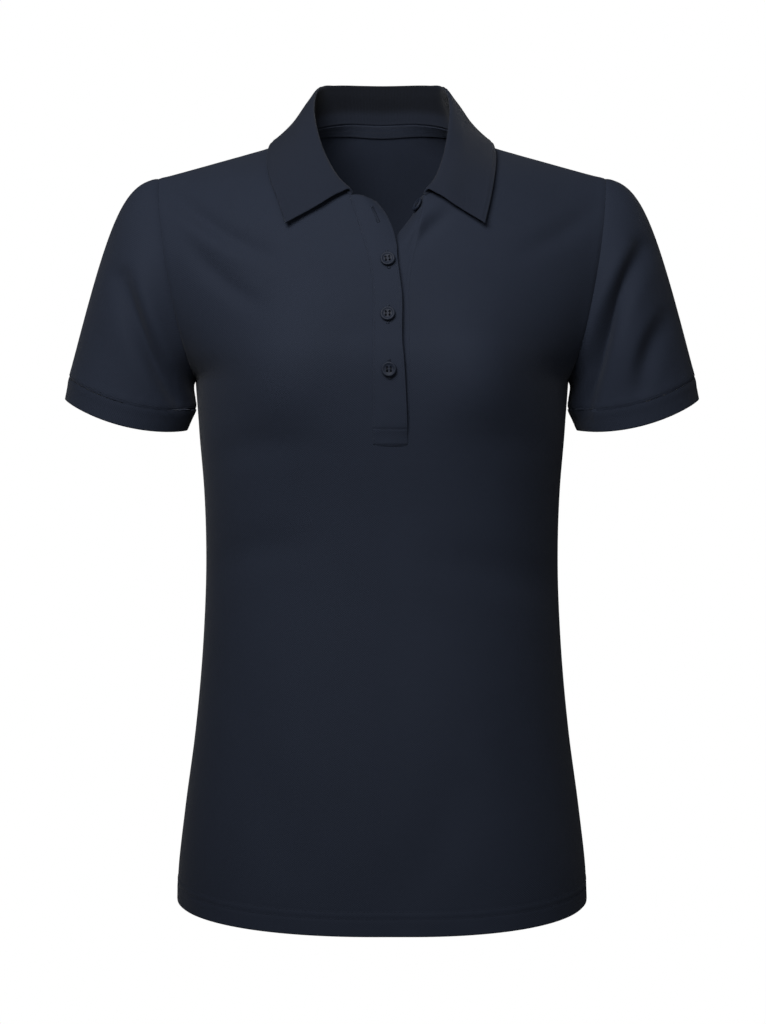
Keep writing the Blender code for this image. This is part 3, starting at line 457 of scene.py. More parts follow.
def unit(vectors):
    return vectors / np.maximum(np.linalg.norm(vectors, axis=-1, keepdims=True), 1e-12)


def bell(distance, width):
    """1 at no distance, and smoothly down to almost nothing two widths away."""
    return np.exp(-((distance / width) ** 2))


def smooth(table, at):
    """The table's other columns where its first is `at`, on a smooth curve through the rows."""
    rows = np.array(table, float)
    keys, values = rows[:, 0], rows[:, 1:]
    slopes = np.gradient(values, keys, axis=0)
    at = np.atleast_1d(at)
    low = np.clip(np.searchsorted(keys, at, "right") - 1, 0, len(keys) - 2)
    span = (keys[low + 1] - keys[low])[:, None]
    t = (at - keys[low])[:, None] / span
    return (
        (2 * t**3 - 3 * t**2 + 1) * values[low]
        + (t**3 - 2 * t**2 + t) * span * slopes[low]
        + (3 * t**2 - 2 * t**3) * values[low + 1]
        + (t**3 - t**2) * span * slopes[low + 1]
    )


def around(table):
    """A ring's table, carried on past both ends so that it closes smoothly."""
    rows = np.array(table, float)
    before, after = rows[-3:].copy(), rows[:3].copy()
    before[:, 0] -= 1
    after[:, 0] += 1
    return np.vstack([before, rows, after])


def at_station(table, station):
    """Where a half table of stations puts one: stations below zero lie on the wearer's right."""
    rows = np.array(table, float)
    right = np.column_stack([-rows[:, 0], -rows[:, 1], rows[:, 3:]])[:0:-1]
    left = np.column_stack([rows[:, 0], rows[:, 2], rows[:, 3:]])
    return smooth(np.vstack([right, left]), station)[0]


def bezier(start, leave, arrive, end, steps):
    t = np.linspace(0, 1, steps)[:, None]
    return (1 - t) ** 3 * start + 3 * t * (1 - t) ** 2 * leave + 3 * t**2 * (1 - t) * arrive + t**3 * end


def spread(length, count, edges):
    """`count` + 1 distances from 0 to a length, with set distances beside both ends."""
    head = np.array(edges)
    tail = length - head[::-1]
    middle = np.linspace(head[-1], tail[0], count + 3 - len(head) - len(tail))[1:-1]
    return np.r_[head, middle, tail]


def read_off(line, keys, at):
    """The points of a line where its key is `at`, straight from one key to the next."""
    return np.stack([np.interp(at, keys, part) for part in line.T], axis=-1)


def path_lengths(path):
    return np.r_[0, np.cumsum(np.linalg.norm(np.diff(path, axis=0), axis=1))]


def along(curve, distances_of):
    """The points of a dense curve at the distances that a function of its length gives."""
    lengths = path_lengths(curve)
    return read_off(curve, lengths, distances_of(lengths[-1]))


def run_lengths(grid, axis):
    """The distance along a grid's columns (axis 0) or rows (axis 1) from their first point."""
    steps = np.linalg.norm(np.diff(grid, axis=axis), axis=2)
    start = np.zeros_like(steps[:1] if axis == 0 else steps[:, :1])
    return np.cumsum(np.concatenate([start, steps], axis=axis), axis=axis)


def from_ends(run, axis):
    """How far along its column or row each point lies from the nearer end."""
    return np.minimum(run - run.take([0], axis), run.take([-1], axis) - run)


def flat_places(grid, middle=0):
    """Where each point lies in the flat cloth: across from the middle column, and up from the first row."""
    across = run_lengths(grid, 1)
    return np.stack([across - across[:, middle : middle + 1], run_lengths(grid, 0)], axis=-1)


# Edges that pieces share.


def armhole_point(side, face, row):
    """The armhole's seam at a row above the underarm, on the front or the back half of the ring."""
    climb = (row - UNDERARM) / 2
    width, depth, height = smooth(around(ARMHOLE), climb if face == FRONT else 1 - climb)[0]
    return np.array([side * width, depth, height])


def outer_edge(side, face, row):
    if row > UNDERARM:
        return armhole_point(side, face, row)
    width, depth, height = smooth(SIDE_SEAM, row)[0]
    return np.array([side * width, depth, height])


def neck_station(face, row):
    """The neck seam's station for a row whose inner end lies on the neck."""
    climb = (row - COLLAR_END) / (SHOULDER - COLLAR_END)
    return 2 - climb if face == FRONT else climb


def inner_edge(side, face, row):
    if row > COLLAR_END:
        return at_station(NECK_SEAM, side * neck_station(face, row))
    if face == BACK:
        return np.r_[0.0, smooth(BACK_CENTRE, row)[0]]
    right, left, depth, height = smooth(FRONT_EDGES, row)[0]
    return np.array([right if side == WEARERS_RIGHT else left, depth, height])


# Middle surfaces. A piece is a grid of points, its faces, and its points' places in the flat cloth.


def panel_row(side, face, row):
    """One row of a panel, from its inner edge to its outer edge."""
    inner, outer = inner_edge(side, face, row), outer_edge(side, face, row)
    table = FRONT_ROWS if face == FRONT else BACK_ROWS
    leave, leave_angle, arrive, arrive_angle, rise_in, rise_out = smooth(table, row)[0]
    leave_angle, arrive_angle = math.radians(leave_angle), math.radians(arrive_angle)
    reach = np.linalg.norm(outer - inner)
    climb = np.array([0, 0, outer[2] - inner[2]])
    heading_out = np.array([side * math.cos(leave_angle), face * math.sin(leave_angle), 0])
    heading_round = np.array([side * math.cos(arrive_angle), -face * math.sin(arrive_angle), 0])
    first = inner + leave * reach * heading_out + rise_in * climb
    second = outer - arrive * reach * heading_round - (1 - rise_out) * climb
    curve = bezier(inner, first, second, outer, PANEL_CURVE_STEPS)
    return along(curve, lambda length: spread(length, HALF_COLUMNS, EDGE_COLUMNS))


def panel_half(side, face):
    return np.array([panel_row(side, face, row) for row in PANEL_ROWS])


def grid_faces(grid, closed=False):
    """Quads of a grid of points; a closed grid's rows run all the way round."""
    rows, columns = grid.shape[:2]
    low = np.arange(rows - 1)[:, None] * columns
    column = np.arange(columns if closed else columns - 1)
    after = (column + 1) % columns
    quads = np.stack([low + column, low + after, low + columns + after, low + columns + column], axis=-1)
    return quads.reshape(-1, 4)


def front_panel():
    """The front is one panel up to the placket's window, and a right and a left front above it."""
    right, left = panel_half(WEARERS_RIGHT, FRONT)[:, ::-1], panel_half(WEARERS_LEFT, FRONT)
    steps = np.linspace(0, 1, WINDOW_COLUMNS + 1)[1:-1, None]
    between = right[:, -1:] + steps * (left[:, :1] - right[:, -1:])
    grid = np.concatenate([right, between, left], axis=1)
    faces = grid_faces(grid)
    row, column = np.divmod(faces[:, 0], grid.shape[1])
    in_window = (column >= HALF_COLUMNS) & (column < HALF_COLUMNS + WINDOW_COLUMNS)
    faces = faces[~(in_window & (PANEL_ROWS[row] >= WINDOW_FOOT))]
    return grid, faces, flat_places(grid, grid.shape[1] // 2)


def back_panel():
    """The back is one panel up to the neck, where its two halves part."""
    left, right = panel_half(WEARERS_LEFT, BACK)[:, ::-1], panel_half(WEARERS_RIGHT, BACK)
    grid = np.concatenate([left, right], axis=1)
    faces = grid_faces(grid)
    faces = faces[faces[:, 0] % grid.shape[1] != HALF_COLUMNS]
    return grid, faces, flat_places(grid, HALF_COLUMNS)


def cuff_ring(side, ring, radii, rise):
    """The point of a cuff's ellipse at a share of the ring, `rise` above the rim along the arm."""
    turn = math.pi * (1 - 2 * ring)
    tilt, lean = math.radians(CUFF_TILT), math.radians(CUFF_LEAN)
    across = np.array([side * math.cos(tilt), 0, math.sin(tilt)])
    up_arm = np.array([-side * math.sin(lean), 0, math.cos(lean)])
    centre = np.array([side * CUFF_CENTRE[0], CUFF_CENTRE[1], CUFF_CENTRE[2]])
    mean, front_more = (CUFF_DIP_FRONT + CUFF_DIP_BACK) / 2, (CUFF_DIP_FRONT - CUFF_DIP_BACK) / 2
    dip = mean * math.sin(turn) ** 2 + front_more * math.sin(turn)
    point = centre + radii[0] * math.cos(turn) * across + rise * up_arm
    return point + np.array([0, -radii[1] * math.sin(turn), -dip])


def armhole_rings():
    """Where the front's rows and then the back's reach the armhole, as (share of the ring, face, row)."""
    up = [((row - 1) / 2, FRONT, row) for row in np.r_[UNDERARM, HIGH_ROWS]]
    down = [(1 - (row - 1) / 2, BACK, row) for row in HIGH_ROWS[-2::-1]]
    return up + down


def tube(grid, side):
    """A piece whose rows run round the arm, with its faces turned outwards."""
    faces = grid_faces(grid, closed=True)
    return grid, (faces[:, ::-1] if side == WEARERS_LEFT else faces), flat_places(grid)


def sleeve_steps(length):
    """The sleeve's rings, drawn together at its edges where the underarm is too short for them."""
    return spread(length, SLEEVE_STEPS, np.array(EDGE_COLUMNS) * min(1.0, length / SHORT_SLEEVE))


def sleeve(side):
    tilt = math.radians(CUFF_TILT)
    down_arm = np.array([side * math.sin(tilt), 0, -math.cos(tilt)])
    lines = []
    for ring, face, row in armhole_rings():
        outward, backward, upward, leave, arrive = smooth(around(SLEEVE_HEAD), ring)[0]
        start = armhole_point(side, face, row)
        end = cuff_ring(side, ring, SLEEVE_END_RADII, CUFF_HEIGHT)
        heading = unit(np.array([side * outward, backward, upward]))
        curve = bezier(start, start + leave * heading, end - arrive * down_arm, end, SLEEVE_CURVE_STEPS)
        lines.append(along(curve, sleeve_steps))
    return tube(np.array(lines).transpose(1, 0, 2), side)


def cuff(side):
    rings = []
    for rise in CUFF_HEIGHT - spread(CUFF_HEIGHT, CUFF_STEPS, CUFF_EDGES):
        draw = (1 - rise / CUFF_HEIGHT) ** CUFF_DRAW_POWER
        radii = [top + draw * (rim - top) for top, rim in zip(SLEEVE_END_RADII, CUFF_RIM_RADII)]
        rings.append([cuff_ring(side, ring, radii, rise) for ring, _, _ in armhole_rings()])
    return tube(np.array(rings), side)


def collar_profile(station):
    """The collar's section at a signed station: up the stand, over the fold and down the leaf."""
    seam, fold, edge = (at_station(table, station) for table in (NECK_SEAM, COLLAR_FOLD, COLLAR_EDGE))
    down_stand, down_leaf = unit(seam - fold), unit(edge - fold)
    stand_height, leaf_length = np.linalg.norm(seam - fold), np.linalg.norm(edge - fold)
    across = unit(down_leaf - down_stand)
    off_leaf = unit(across - across.dot(down_leaf) * down_leaf)
    stand_reach = min(FOLD_REACH, 0.5 * stand_height)
    roll = FOLD_ROLL * min(1.0, stand_height / FOLD_REACH)
    controls = np.array([
        seam,
        seam + 0.5 * (fold + stand_reach * down_stand - seam) - 0.25 * roll * across,
        fold + stand_reach * down_stand - roll * across,
        fold,
        fold + FOLD_REACH * down_leaf + roll * across,
        fold + 0.5 * leaf_length * down_leaf + LEAF_CROWN * off_leaf,
        edge,
    ])
    keys = path_lengths(controls)
    dense = smooth(np.column_stack([keys, controls]), np.linspace(0, keys[-1], COLLAR_CURVE_STEPS))
    return along(dense, lambda length: spread(length, COLLAR_STEPS, COLLAR_EDGES))


def collar_stations():
    """The collar's stations from the wearer's right to the left, and the panels' rows that they meet."""
    rows = HIGH_ROWS[HIGH_ROWS >= COLLAR_END]
    half = np.r_[neck_station(FRONT, rows), neck_station(BACK, rows[-2::-1])]
    rows = np.r_[rows, rows[-2::-1]]
    return np.r_[-half, half[-2::-1]], np.r_[rows, rows[-2::-1]]


def collar():
    grid = np.array([collar_profile(station) for station in collar_stations()[0]])
    leaf_run = run_lengths(grid, 0)[:, LEAF_LINE, None]
    across = np.repeat(leaf_run - leaf_run[len(grid) // 2], grid.shape[1], axis=1)
    return grid, grid_faces(grid), np.stack([across, run_lengths(grid, 1)], axis=-1)


def evened(name, grid):
    """Lays a piece's fine rows evenly between their neighbours, so that lines so close can't cross."""
    if name in ("front", "back"):
        keys = rows = PANEL_ROWS
    elif name == "collar":
        keys, rows = collar_stations()
    else:
        keys, _, rows = map(np.array, zip(*armhole_rings()))
    lines = grid if name in ("front", "back", "collar") else grid.transpose(1, 0, 2)
    kept = ~np.isin(np.round(rows, 5), FINE_ROWS)
    laid = read_off(lines.reshape(len(lines), -1)[kept], keys[kept], keys).reshape(lines.shape)
    return laid if lines is grid else laid.transpose(1, 0, 2)


# Form and folds.


def face_weights(points, faces):
    """The sum of the area vectors of the faces round each point."""
    corners = points[faces]
    areas = np.cross(corners[:, 2] - corners[:, 0], corners[:, 3] - corners[:, 1])
    normals = np.zeros_like(points)
    for corner in range(4):
        np.add.at(normals, faces[:, corner], areas)
    return normals


def own_normals(grid, faces):
    return unit(face_weights(grid.reshape(-1, 3), faces)).reshape(grid.shape)


def shared_normals(pieces):
    """Each piece's normals, averaged at seams over every piece that meets there."""
    points = [grid.reshape(-1, 3) for grid, _, _ in pieces.values()]
    _, index = np.unique(np.round(np.vstack(points), 3), axis=0, return_inverse=True)
    index = np.split(index.reshape(-1), np.cumsum([len(own) for own in points])[:-1])
    total = np.zeros((max(own.max() for own in index) + 1, 3))
    for own, places, (_, faces, _) in zip(index, points, pieces.values()):
        np.add.at(total, own, face_weights(places, faces))
    return {name: unit(total[own]).reshape(pieces[name][0].shape) for name, own in zip(pieces, index)}


def fold_relief(folds, across, height):
    """How far the folds stand out at each place of one face of the body, as seen from that face."""
    relief = np.zeros_like(across)
    for x0, z0, x1, z1, bow, width, depth in folds:
        heading = np.array([x1 - x0, z1 - z0])
        length = np.linalg.norm(heading)
        heading = heading / length
        share = ((across - x0) * heading[0] + (height - z0) * heading[1]) / length
        inside = np.clip(share, 0, 1)
        aside = (across - x0) * -heading[1] + (height - z0) * heading[0] - bow * 4 * inside * (1 - inside)
        taper = FOLD_END_SHARE + (1 - FOLD_END_SHARE) * np.sin(np.pi * inside)
        relief += depth * taper * bell((share - inside) * length, width) * bell(aside, width)
    return relief


def chest_swell(across, height):
    """The front's fullness, as if a dart's worth of cloth were eased in under each arm."""
    place, level, spread_across, above, below, swell = CHEST_FULLNESS
    reach = np.where(height > level, above, below)
    return swell * bell(np.abs(across) - place, spread_across) * bell(height - level, reach)


def facing_share(facing):
    """How much of a face's folds the cloth has, by how far its normal points that way."""
    return np.clip(FACING_GAIN * facing, 0, 1) ** FACING_POWER


def moved(name, piece, normals, relief):
    """A piece after its surface has moved out along its normals by a relief."""
    grid, faces, places = piece
    return evened(name, grid + relief[..., None] * normals), faces, places


def drape(pieces):
    """Moves the middle surfaces along their normals by the body's form and folds."""
    normals = shared_normals(pieces)
    draped = {}
    for name, piece in pieces.items():
        grid, _, places = piece
        across, height, backward = grid[..., 0], grid[..., 2], normals[name][..., 1]
        front_relief = fold_relief(FRONT_FOLDS, across, height) + chest_swell(across, height)
        back_relief = fold_relief(BACK_FOLDS, across, height)
        relief = facing_share(-backward) * front_relief + facing_share(backward) * back_relief
        if name == "collar":
            relief = relief * bell(places[..., 1], COLLAR_FOLD_REACH)
        draped[name] = moved(name, piece, normals[name], relief)
    return draped


def ripple(x, y, size, seed):
    """A soft, uneven wave between -1 and 1; its odd factors keep it from repeating."""
    phase = seed * 2.399
    total = np.sin(x / size * math.tau + phase + 1.7 * np.sin(y / size * 2.1 + phase))
    total = total + np.sin(x / size * 4.03 - phase * 1.3 + 1.3 * np.sin(y / size * 3.3 - phase))
    return 0.5 * total


def seam_dip(distance, ridge=SEAM_RIDGE):
    """How the cloth dips towards a seam, with a low ridge of its allowance beside it."""
    return ridge * bell(distance - RIDGE_PLACE, RIDGE_WIDTH) - SEAM_DIP * bell(distance, SEAM_REACH)


def panel_detail(grid, places):
    """The relief of a panel's seams and hem, where the rows of stitches pull the cloth in."""
    across, up = places[..., 0], places[..., 1]
    from_shoulder = run_lengths(grid[::-1], 0)[::-1]
    relief = SHALLOW_SEAM * seam_dip(from_ends(run_lengths(grid, 1), 1), SIDE_RIDGE) + seam_dip(from_shoulder)
    relief = relief + HEM_FULLNESS / (1 + np.exp((up - HEM_HEIGHT) / HEM_STEP))
    for line in HEM_STITCH_LINES:
        pull = HEM_PULL + HEM_PUCKER * ripple(across, up, HEM_PUCKER_SIZE, line)
        relief = relief - pull * bell(up - line, HEM_PULL_WIDTH)
    swell = HEM_WAVE * bell(up - HEM_WAVE_HEIGHT, HEM_WAVE_WIDTH)
    return relief + swell * ripple(across, up, HEM_WAVE_SIZE, 3)


def sleeve_detail(_, places):
    """The relief of a sleeve's seams, with a slight gather above the cuff."""
    girth, length = places[..., 0], places[..., 1]
    from_cuff = length[-1:] - length
    gather = GATHER * bell(from_cuff, GATHER_REACH) * ripple(girth, from_cuff, GATHER_SIZE, 5)
    return SHALLOW_SEAM * seam_dip(length) + seam_dip(from_cuff) + seam_dip(from_ends(girth, 1)) + gather


def cuff_detail(_, places):
    """The relief of a cuff's seams and ribs."""
    girth, length = places[..., 0], places[..., 1]
    rib = CUFF_RIB_DEPTH * np.cos(girth / CUFF_RIB_PITCH * math.tau)
    return CUFF_SEAM * seam_dip(length) + SHALLOW_SEAM * seam_dip(from_ends(girth, 1)) + rib


def leaf_places(places):
    """How far the collar's points lie from its free edge and its nearer end, and their share on the leaf."""
    run, down = places[..., 0], places[..., 1]
    on_leaf = 1 / (1 + np.exp((LEAF_START * down[:, -1:] - down) / LEAF_START_WIDTH))
    return down[:, -1:] - down, from_ends(run, 0), on_leaf


def collar_detail(_, places):
    """The leaf's welt along its free edges, a slight wave, and the neck seam's dip."""
    from_edge, from_end, on_leaf = leaf_places(places)
    run, down = places[..., 0], places[..., 1]
    nearest_edge = np.minimum(from_edge, from_end + FAR_FROM_EDGE * (1 - on_leaf))
    welt = sum(height * bell(nearest_edge - place, width) for height, place, width in LEAF_WELT)
    wave = LEAF_WAVE * on_leaf * ripple(run, down, LEAF_WAVE_SIZE, 2)
    return welt + wave - NECK_DIP * bell(down, NECK_DIP_WIDTH)


def settle_leaf(grid, places):
    """Lays the leaf's two points back onto the front, by less away from them."""
    from_edge, from_end, on_leaf = leaf_places(places)
    settled = grid.copy()
    settled[..., 1] += LEAF_SETTLE * on_leaf * bell(np.hypot(from_edge, from_end), LEAF_SETTLE_REACH)
    return settled


def underarm_share(height):
    """1 where the sleeve's seam turns back on itself under the arm, and 0 above."""
    top, foot = CREASE_HEIGHTS
    return np.clip((top - height) / (top - foot), 0, 1)


def ease_sleeve(grid, places, side):
    """Stands the sleeve's underside off the body's side just below their seam, by less along the arm."""
    length = places[..., 1]
    eased = grid.copy()
    near_seam = np.clip(length / CREASE_START, 0, 1) * bell(length, CREASE_REACH)
    eased[..., 0] += side * CREASE_CLEARANCE * underarm_share(grid[:1, :, 2]) * near_seam
    return eased


def part_normals(name, grid, shared, own):
    """At the crease under the arm the sleeve and the body each keep their own direction."""
    if name.startswith("cuff") or name == "collar":
        return shared
    share = underarm_share(grid[..., 2])[..., None]
    return unit((1 - share) * shared + share * own)


# Meshes.


def rim_edges(faces):
    """The edges that only one face uses, each in that face's own direction."""
    edges = np.concatenate([faces[:, [corner, (corner + 1) % 4]] for corner in range(4)])
    _, first, uses = np.unique(np.sort(edges, axis=1), axis=0, return_index=True, return_counts=True)
    return edges[first[uses == 1]]


def rounded(distance, thickness):
    """The share of its thickness that a wall has at a distance from its free edge."""
    inside = np.clip(distance / (0.5 * thickness), 0, 1)
    return THIN_EDGE + (1 - THIN_EDGE) * np.sqrt(1 - (1 - inside) ** 2)


def merged(points, faces):
    """Faces whose coinciding points are made one, and the index of each point that is kept."""
    used = np.unique(faces)
    _, first, place = np.unique(np.round(points[used], 4), axis=0, return_index=True, return_inverse=True)
    index = np.full(len(points), -1)
    index[used] = place.reshape(-1)
    return index[faces], used[first]


def add_object(name, data=None):
    made = bpy.data.objects.new(name, data)
    bpy.context.scene.collection.objects.link(made)
    return made


def new_mesh(name, points, faces, material=None):
    """A mesh from points in millimetres."""
    mesh = bpy.data.meshes.new(name)
    mesh.from_pydata((np.asarray(points) * MM).tolist(), [], faces)
    if material:
        mesh.materials.append(material)
        mesh.shade_smooth()
    return mesh


def lay_texture(mesh, flat):
    """Places in the flat cloth's millimetres; a tube's closing faces carry on past the last column."""
    across = flat[..., 0]
    closing = across.max(axis=1, keepdims=True) - across > 0.5 * across.max()
    flat = np.stack([across + closing * across.max(), flat[..., 1]], axis=-1)
    mesh.uv_layers.new(name="cloth").data.foreach_set("uv", flat.reshape(-1).astype(np.float32))


def cloth(name, piece, normals, thickness, material, share=None):
    """A closed wall about a piece's middle surface, by its edges only a share as thick."""
    grid, faces, places = piece
    points = grid.reshape(-1, 3)
    half = 0.5 * thickness * (1.0 if share is None else share.reshape(-1, 1)) * normals.reshape(-1, 3)
    skin, kept = merged(points, faces)
    count = len(kept)
    rim = rim_edges(skin)
    sides = np.column_stack([rim[:, 1], rim[:, 0], rim[:, 0] + count, rim[:, 1] + count])
    quads = np.concatenate([skin, skin[:, ::-1] + count, sides])
    corners = np.vstack([(points + half)[kept], (points - half)[kept]])
    mesh = new_mesh(name, corners, quads.tolist(), material)
    source = np.concatenate([faces, faces[:, ::-1], kept[rim[:, [1, 0, 0, 1]]]])
    lay_texture(mesh, places.reshape(-1, 2)[source])
    return add_object(name, mesh)


def joined(name, shapes, material):
    """Many small shapes as one mesh object."""
    points, faces, start = [], [], 0
    for shape_points, shape_faces in shapes:
        points.append(shape_points)
        faces += [tuple(int(corner) + start for corner in face) for face in shape_faces]
        start += len(shape_points)
    return add_object(name, new_mesh(name, np.vstack(points), faces, material))


# The bands, the tape and the buttons lie on the panels, so they are made from the panels' points.


def nearest(points, targets):
    """For each target, the index of the point that it coincides with."""
    return [int(np.argmin(((points - target) ** 2).sum(axis=1))) for target in targets]


def placket_edge(front, side):
    """The draped points of one side of the window, from the band's foot to the collar's end."""
    points, base = front
    rows = np.r_[LOW_ROWS[LOW_ROWS > BAND_FOOT], CHEST_ROWS]
    found = nearest(base, [inner_edge(side, FRONT, row) for row in rows])
    box_top = rows[0] + BAND_BOX_SPAN
    in_box = np.linspace(rows[0], box_top, BAND_BOX_ROWS)[:-1]
    fine = np.r_[in_box, np.linspace(box_top, COLLAR_END, BAND_ROWS)]
    return fine, smooth(np.column_stack([rows, points[found]]), fine)


def placket_grid(front, side):
    """The middle surface of one band, before it is moved off the panel."""
    rows, edge = placket_edge(front, side)
    shape = smooth(PLACKET_BANDS, rows)
    reach, drop, turn = (shape[:, :3] if side == WEARERS_RIGHT else shape[:, 3:]).T
    opposite = placket_edge(front, -side)[1]
    free = edge + reach[:, None] * unit(opposite - edge) + np.column_stack([0 * turn, turn, -drop])
    if side == WEARERS_RIGHT:
        edge = edge - BAND_LAP * unit(free - edge)
    width = np.linalg.norm(free - edge, axis=1)
    lines = []
    for start, end, length, row in zip(edge, free, width, rows):
        share = spread(length, BAND_STEPS, BAND_EDGE) / length
        near_top = np.clip((row - BEND_START) / BEND_SPAN, 0, 1)
        line = start + share[:, None] * (end - start)
        line[:, 1] += (end - start)[1] * (1 - np.cos(math.pi / 2 * share) - share) * near_top
        line[:, 2] += BAND_TOP_BULGE * near_top**3 * np.sin(math.pi * share)
        if side == WEARERS_RIGHT:
            line[:, 1] += BAND_ROLL * near_top * share**4 - BAND_BULGE * np.sin(math.pi * share) * share
        else:
            folds = fold_relief(OPENING_FOLDS, line[:, 0], line[:, 2])
            line[:, 1] -= folds - folds[0] * (1 - share)
        lines.append(line)
    grid = np.array(lines)
    return rows, grid if side == WEARERS_RIGHT else grid[:, ::-1]


def edge_distance(grid):
    """How far each point of a strip lies from the strip's nearest edge."""
    return np.minimum(from_ends(run_lengths(grid, 1), 1), from_ends(run_lengths(grid, 0), 0))


def upper_band_lift(across, up):
    """How far the upper band stands off the front: least at its sewn edge and foot, most at its free edge."""
    share = across / across[:, -1:]
    foot = np.exp(-((up / BOX_STITCH_LINES[1]) ** 4))
    sewn = PIQUE / 2 + BAND / 2 + BAND_LIFT - BAND_PRESS * np.maximum(bell(across, PRESS_REACH), foot)
    lift = sewn + BAND_STAND_OFF * share**4 * (1 - foot)
    return lift - (lift - PIQUE / 2 + BAND / 2 + TUCK_DEPTH) * bell(up, TUCK_REACH)


def upper_band_detail(across, up):
    """The upper band's relief: a dip along each row of stitches, and a slight wave."""
    relief = BAND_WAVE * ripple(up, across, BAND_WAVE_SIZE, 7)
    for line in BAND_STITCH_LINES:
        from_line = across - line if line > 0 else across[:, -1:] + line - across
        relief = relief - STITCH_DIP * bell(from_line, STITCH_DIP_WIDTH)
    for line in BOX_STITCH_LINES:
        relief = relief - BOX_DIP * bell(up - line, STITCH_DIP_WIDTH)
    return relief


def make_bands(front, materials):
    bands = {}
    for side, name in ((WEARERS_RIGHT, "placket_top"), (WEARERS_LEFT, "placket_under")):
        rows, grid = placket_grid(front, side)
        faces = grid_faces(grid)
        across, up = run_lengths(grid, 1), run_lengths(grid, 0)
        if side == WEARERS_RIGHT:
            lift = upper_band_lift(across, up) + upper_band_detail(across, up)
        else:
            from_seam = across[:, -1:] - across
            lift = PIQUE / 2 - BAND / 2 - UNDER_BAND_RECESS * np.clip(from_seam / RECESS_REACH, 0, 1) ** 2
        grid = grid + lift[..., None] * own_normals(grid, faces)
        share = rounded(edge_distance(grid) if side == WEARERS_RIGHT else run_lengths(grid, 1), BAND)
        piece = grid, faces, flat_places(grid)
        band = cloth(f"{name}_band", piece, own_normals(grid, faces), BAND, materials["pique"], share)
        bands[name] = (band, rows, grid)
    return bands


def make_neck_tape(back, base, materials):
    """A tape inside the back, from one shoulder's high point to the other, just under the collar's seam."""
    grid, faces, _ = back
    points = grid.reshape(-1, 3)
    corners = np.arange(len(faces) * 4).reshape(-1, 4)
    surface = BVHTree.FromPolygons(points[faces].reshape(-1, 3).tolist(), corners.tolist())
    stations = [station for station in collar_stations()[0] if abs(station) <= TAPE_END]
    seam = points[nearest(base, [at_station(NECK_SEAM, station) for station in stations])]
    inside = PIQUE / 2 + TAPE_GAP + TAPE / 2
    steps = TAPE_TOP + spread(TAPE_FOOT - TAPE_TOP, TAPE_STEPS, TAPE_EDGES)
    lines = []
    for place, heading in zip(seam, np.gradient(seam, axis=0)):
        _, normal, _, _ = surface.find_nearest(place.tolist())
        down = unit(np.cross(heading, np.array(normal)))
        down = down if down[2] < 0 else -down
        found = [surface.find_nearest((place + step * down).tolist()) for step in steps]
        lines.append([np.array(spot) - inside * np.array(normal) for spot, normal, _, _ in found])
    tape = np.array(lines)[:, ::-1]
    tape_faces = grid_faces(tape)
    share = rounded(edge_distance(tape), TAPE)
    piece = tape, tape_faces, flat_places(tape)[..., ::-1]
    normals = own_normals(tape, tape_faces)
    return cloth("neck_tape_cloth", piece, normals, TAPE, materials["tape"], share), tape


def revolve(profile, sides):
    """A turned solid round Z, as points and faces."""
    points, faces = [], []
    turn = np.arange(sides) / sides * math.tau
    for radius, height in profile[1:-1]:
        points.append(np.column_stack([radius * np.cos(turn), radius * np.sin(turn), np.full(sides, height)]))
    points = np.vstack(points + [[(0, 0, profile[0][1])], [(0, 0, profile[-1][1])]])
    foot, head = len(points) - 2, len(points) - 1
    for ring in range(len(profile) - 3):
        for a in range(sides):
            b = (a + 1) % sides
            faces.append((ring * sides + a, ring * sides + b, (ring + 1) * sides + b, (ring + 1) * sides + a))
    last = (len(profile) - 3) * sides
    for a in range(sides):
        b = (a + 1) % sides
        faces += [(foot, b, a), (last + a, last + b, head)]
    return points, faces


def button_mesh(material):
    """A turned button with four drilled holes."""
    drilled = add_object("button_blank", new_mesh("button_blank", *revolve(BUTTON_PROFILE, BUTTON_SIDES)))
    foot, head = BUTTON_DRILL_SPAN
    hole = ((0, foot), (BUTTON_HOLE_RADIUS, foot), (BUTTON_HOLE_RADIUS, head), (0, head))
    helpers = [drilled]
    for x in (-BUTTON_HOLE_OFFSET, BUTTON_HOLE_OFFSET):
        for y in (-BUTTON_HOLE_OFFSET, BUTTON_HOLE_OFFSET):
            points, faces = revolve(hole, BUTTON_HOLE_SIDES)
            drill = add_object("drill", new_mesh("drill", points + [x, y, 0], faces))
            cut = drilled.modifiers.new("hole", "BOOLEAN")
            cut.operation = "DIFFERENCE"
            cut.object = drill
            helpers.append(drill)
    soften = drilled.modifiers.new("soften", "BEVEL")
    soften.width = BUTTON_BEVEL * MM
    soften.segments = 2
    soften.limit_method = "ANGLE"
    soften.angle_limit = math.radians(BUTTON_BEVEL_FROM)
    bpy.context.view_layer.update()
    mesh = bpy.data.meshes.new_from_object(drilled.evaluated_get(bpy.context.evaluated_depsgraph_get()))
    for helper in helpers:
        bpy.data.objects.remove(helper)
    mesh.name = "shirt_button"
    mesh.materials.clear()
    mesh.materials.append(material)
    mesh.shade_smooth()
    mesh.set_sharp_from_angle(angle=math.radians(BUTTON_SHARP_FROM))
    return mesh


def band_place(bands, name, row, share):
    """A point of a band, and the directions across it, up it and off the body there."""
    _, rows, grid = bands[name]
    keys = np.column_stack([rows, grid.reshape(len(rows), -1)])
    near_rows = (row - NEAR_ROW, row, row + NEAR_ROW)
    below, section, above = (smooth(keys, at)[0].reshape(-1, 3) for at in near_rows)
    lengths = path_lengths(section)
    low, middle, high = (read_off(line, lengths, share * lengths[-1]) for line in (below, section, above))
    upward = unit(high - low)
    off = unit(np.cross(unit(section[-1] - section[0]), upward))
    return middle, np.array([np.cross(upward, off), upward, off])


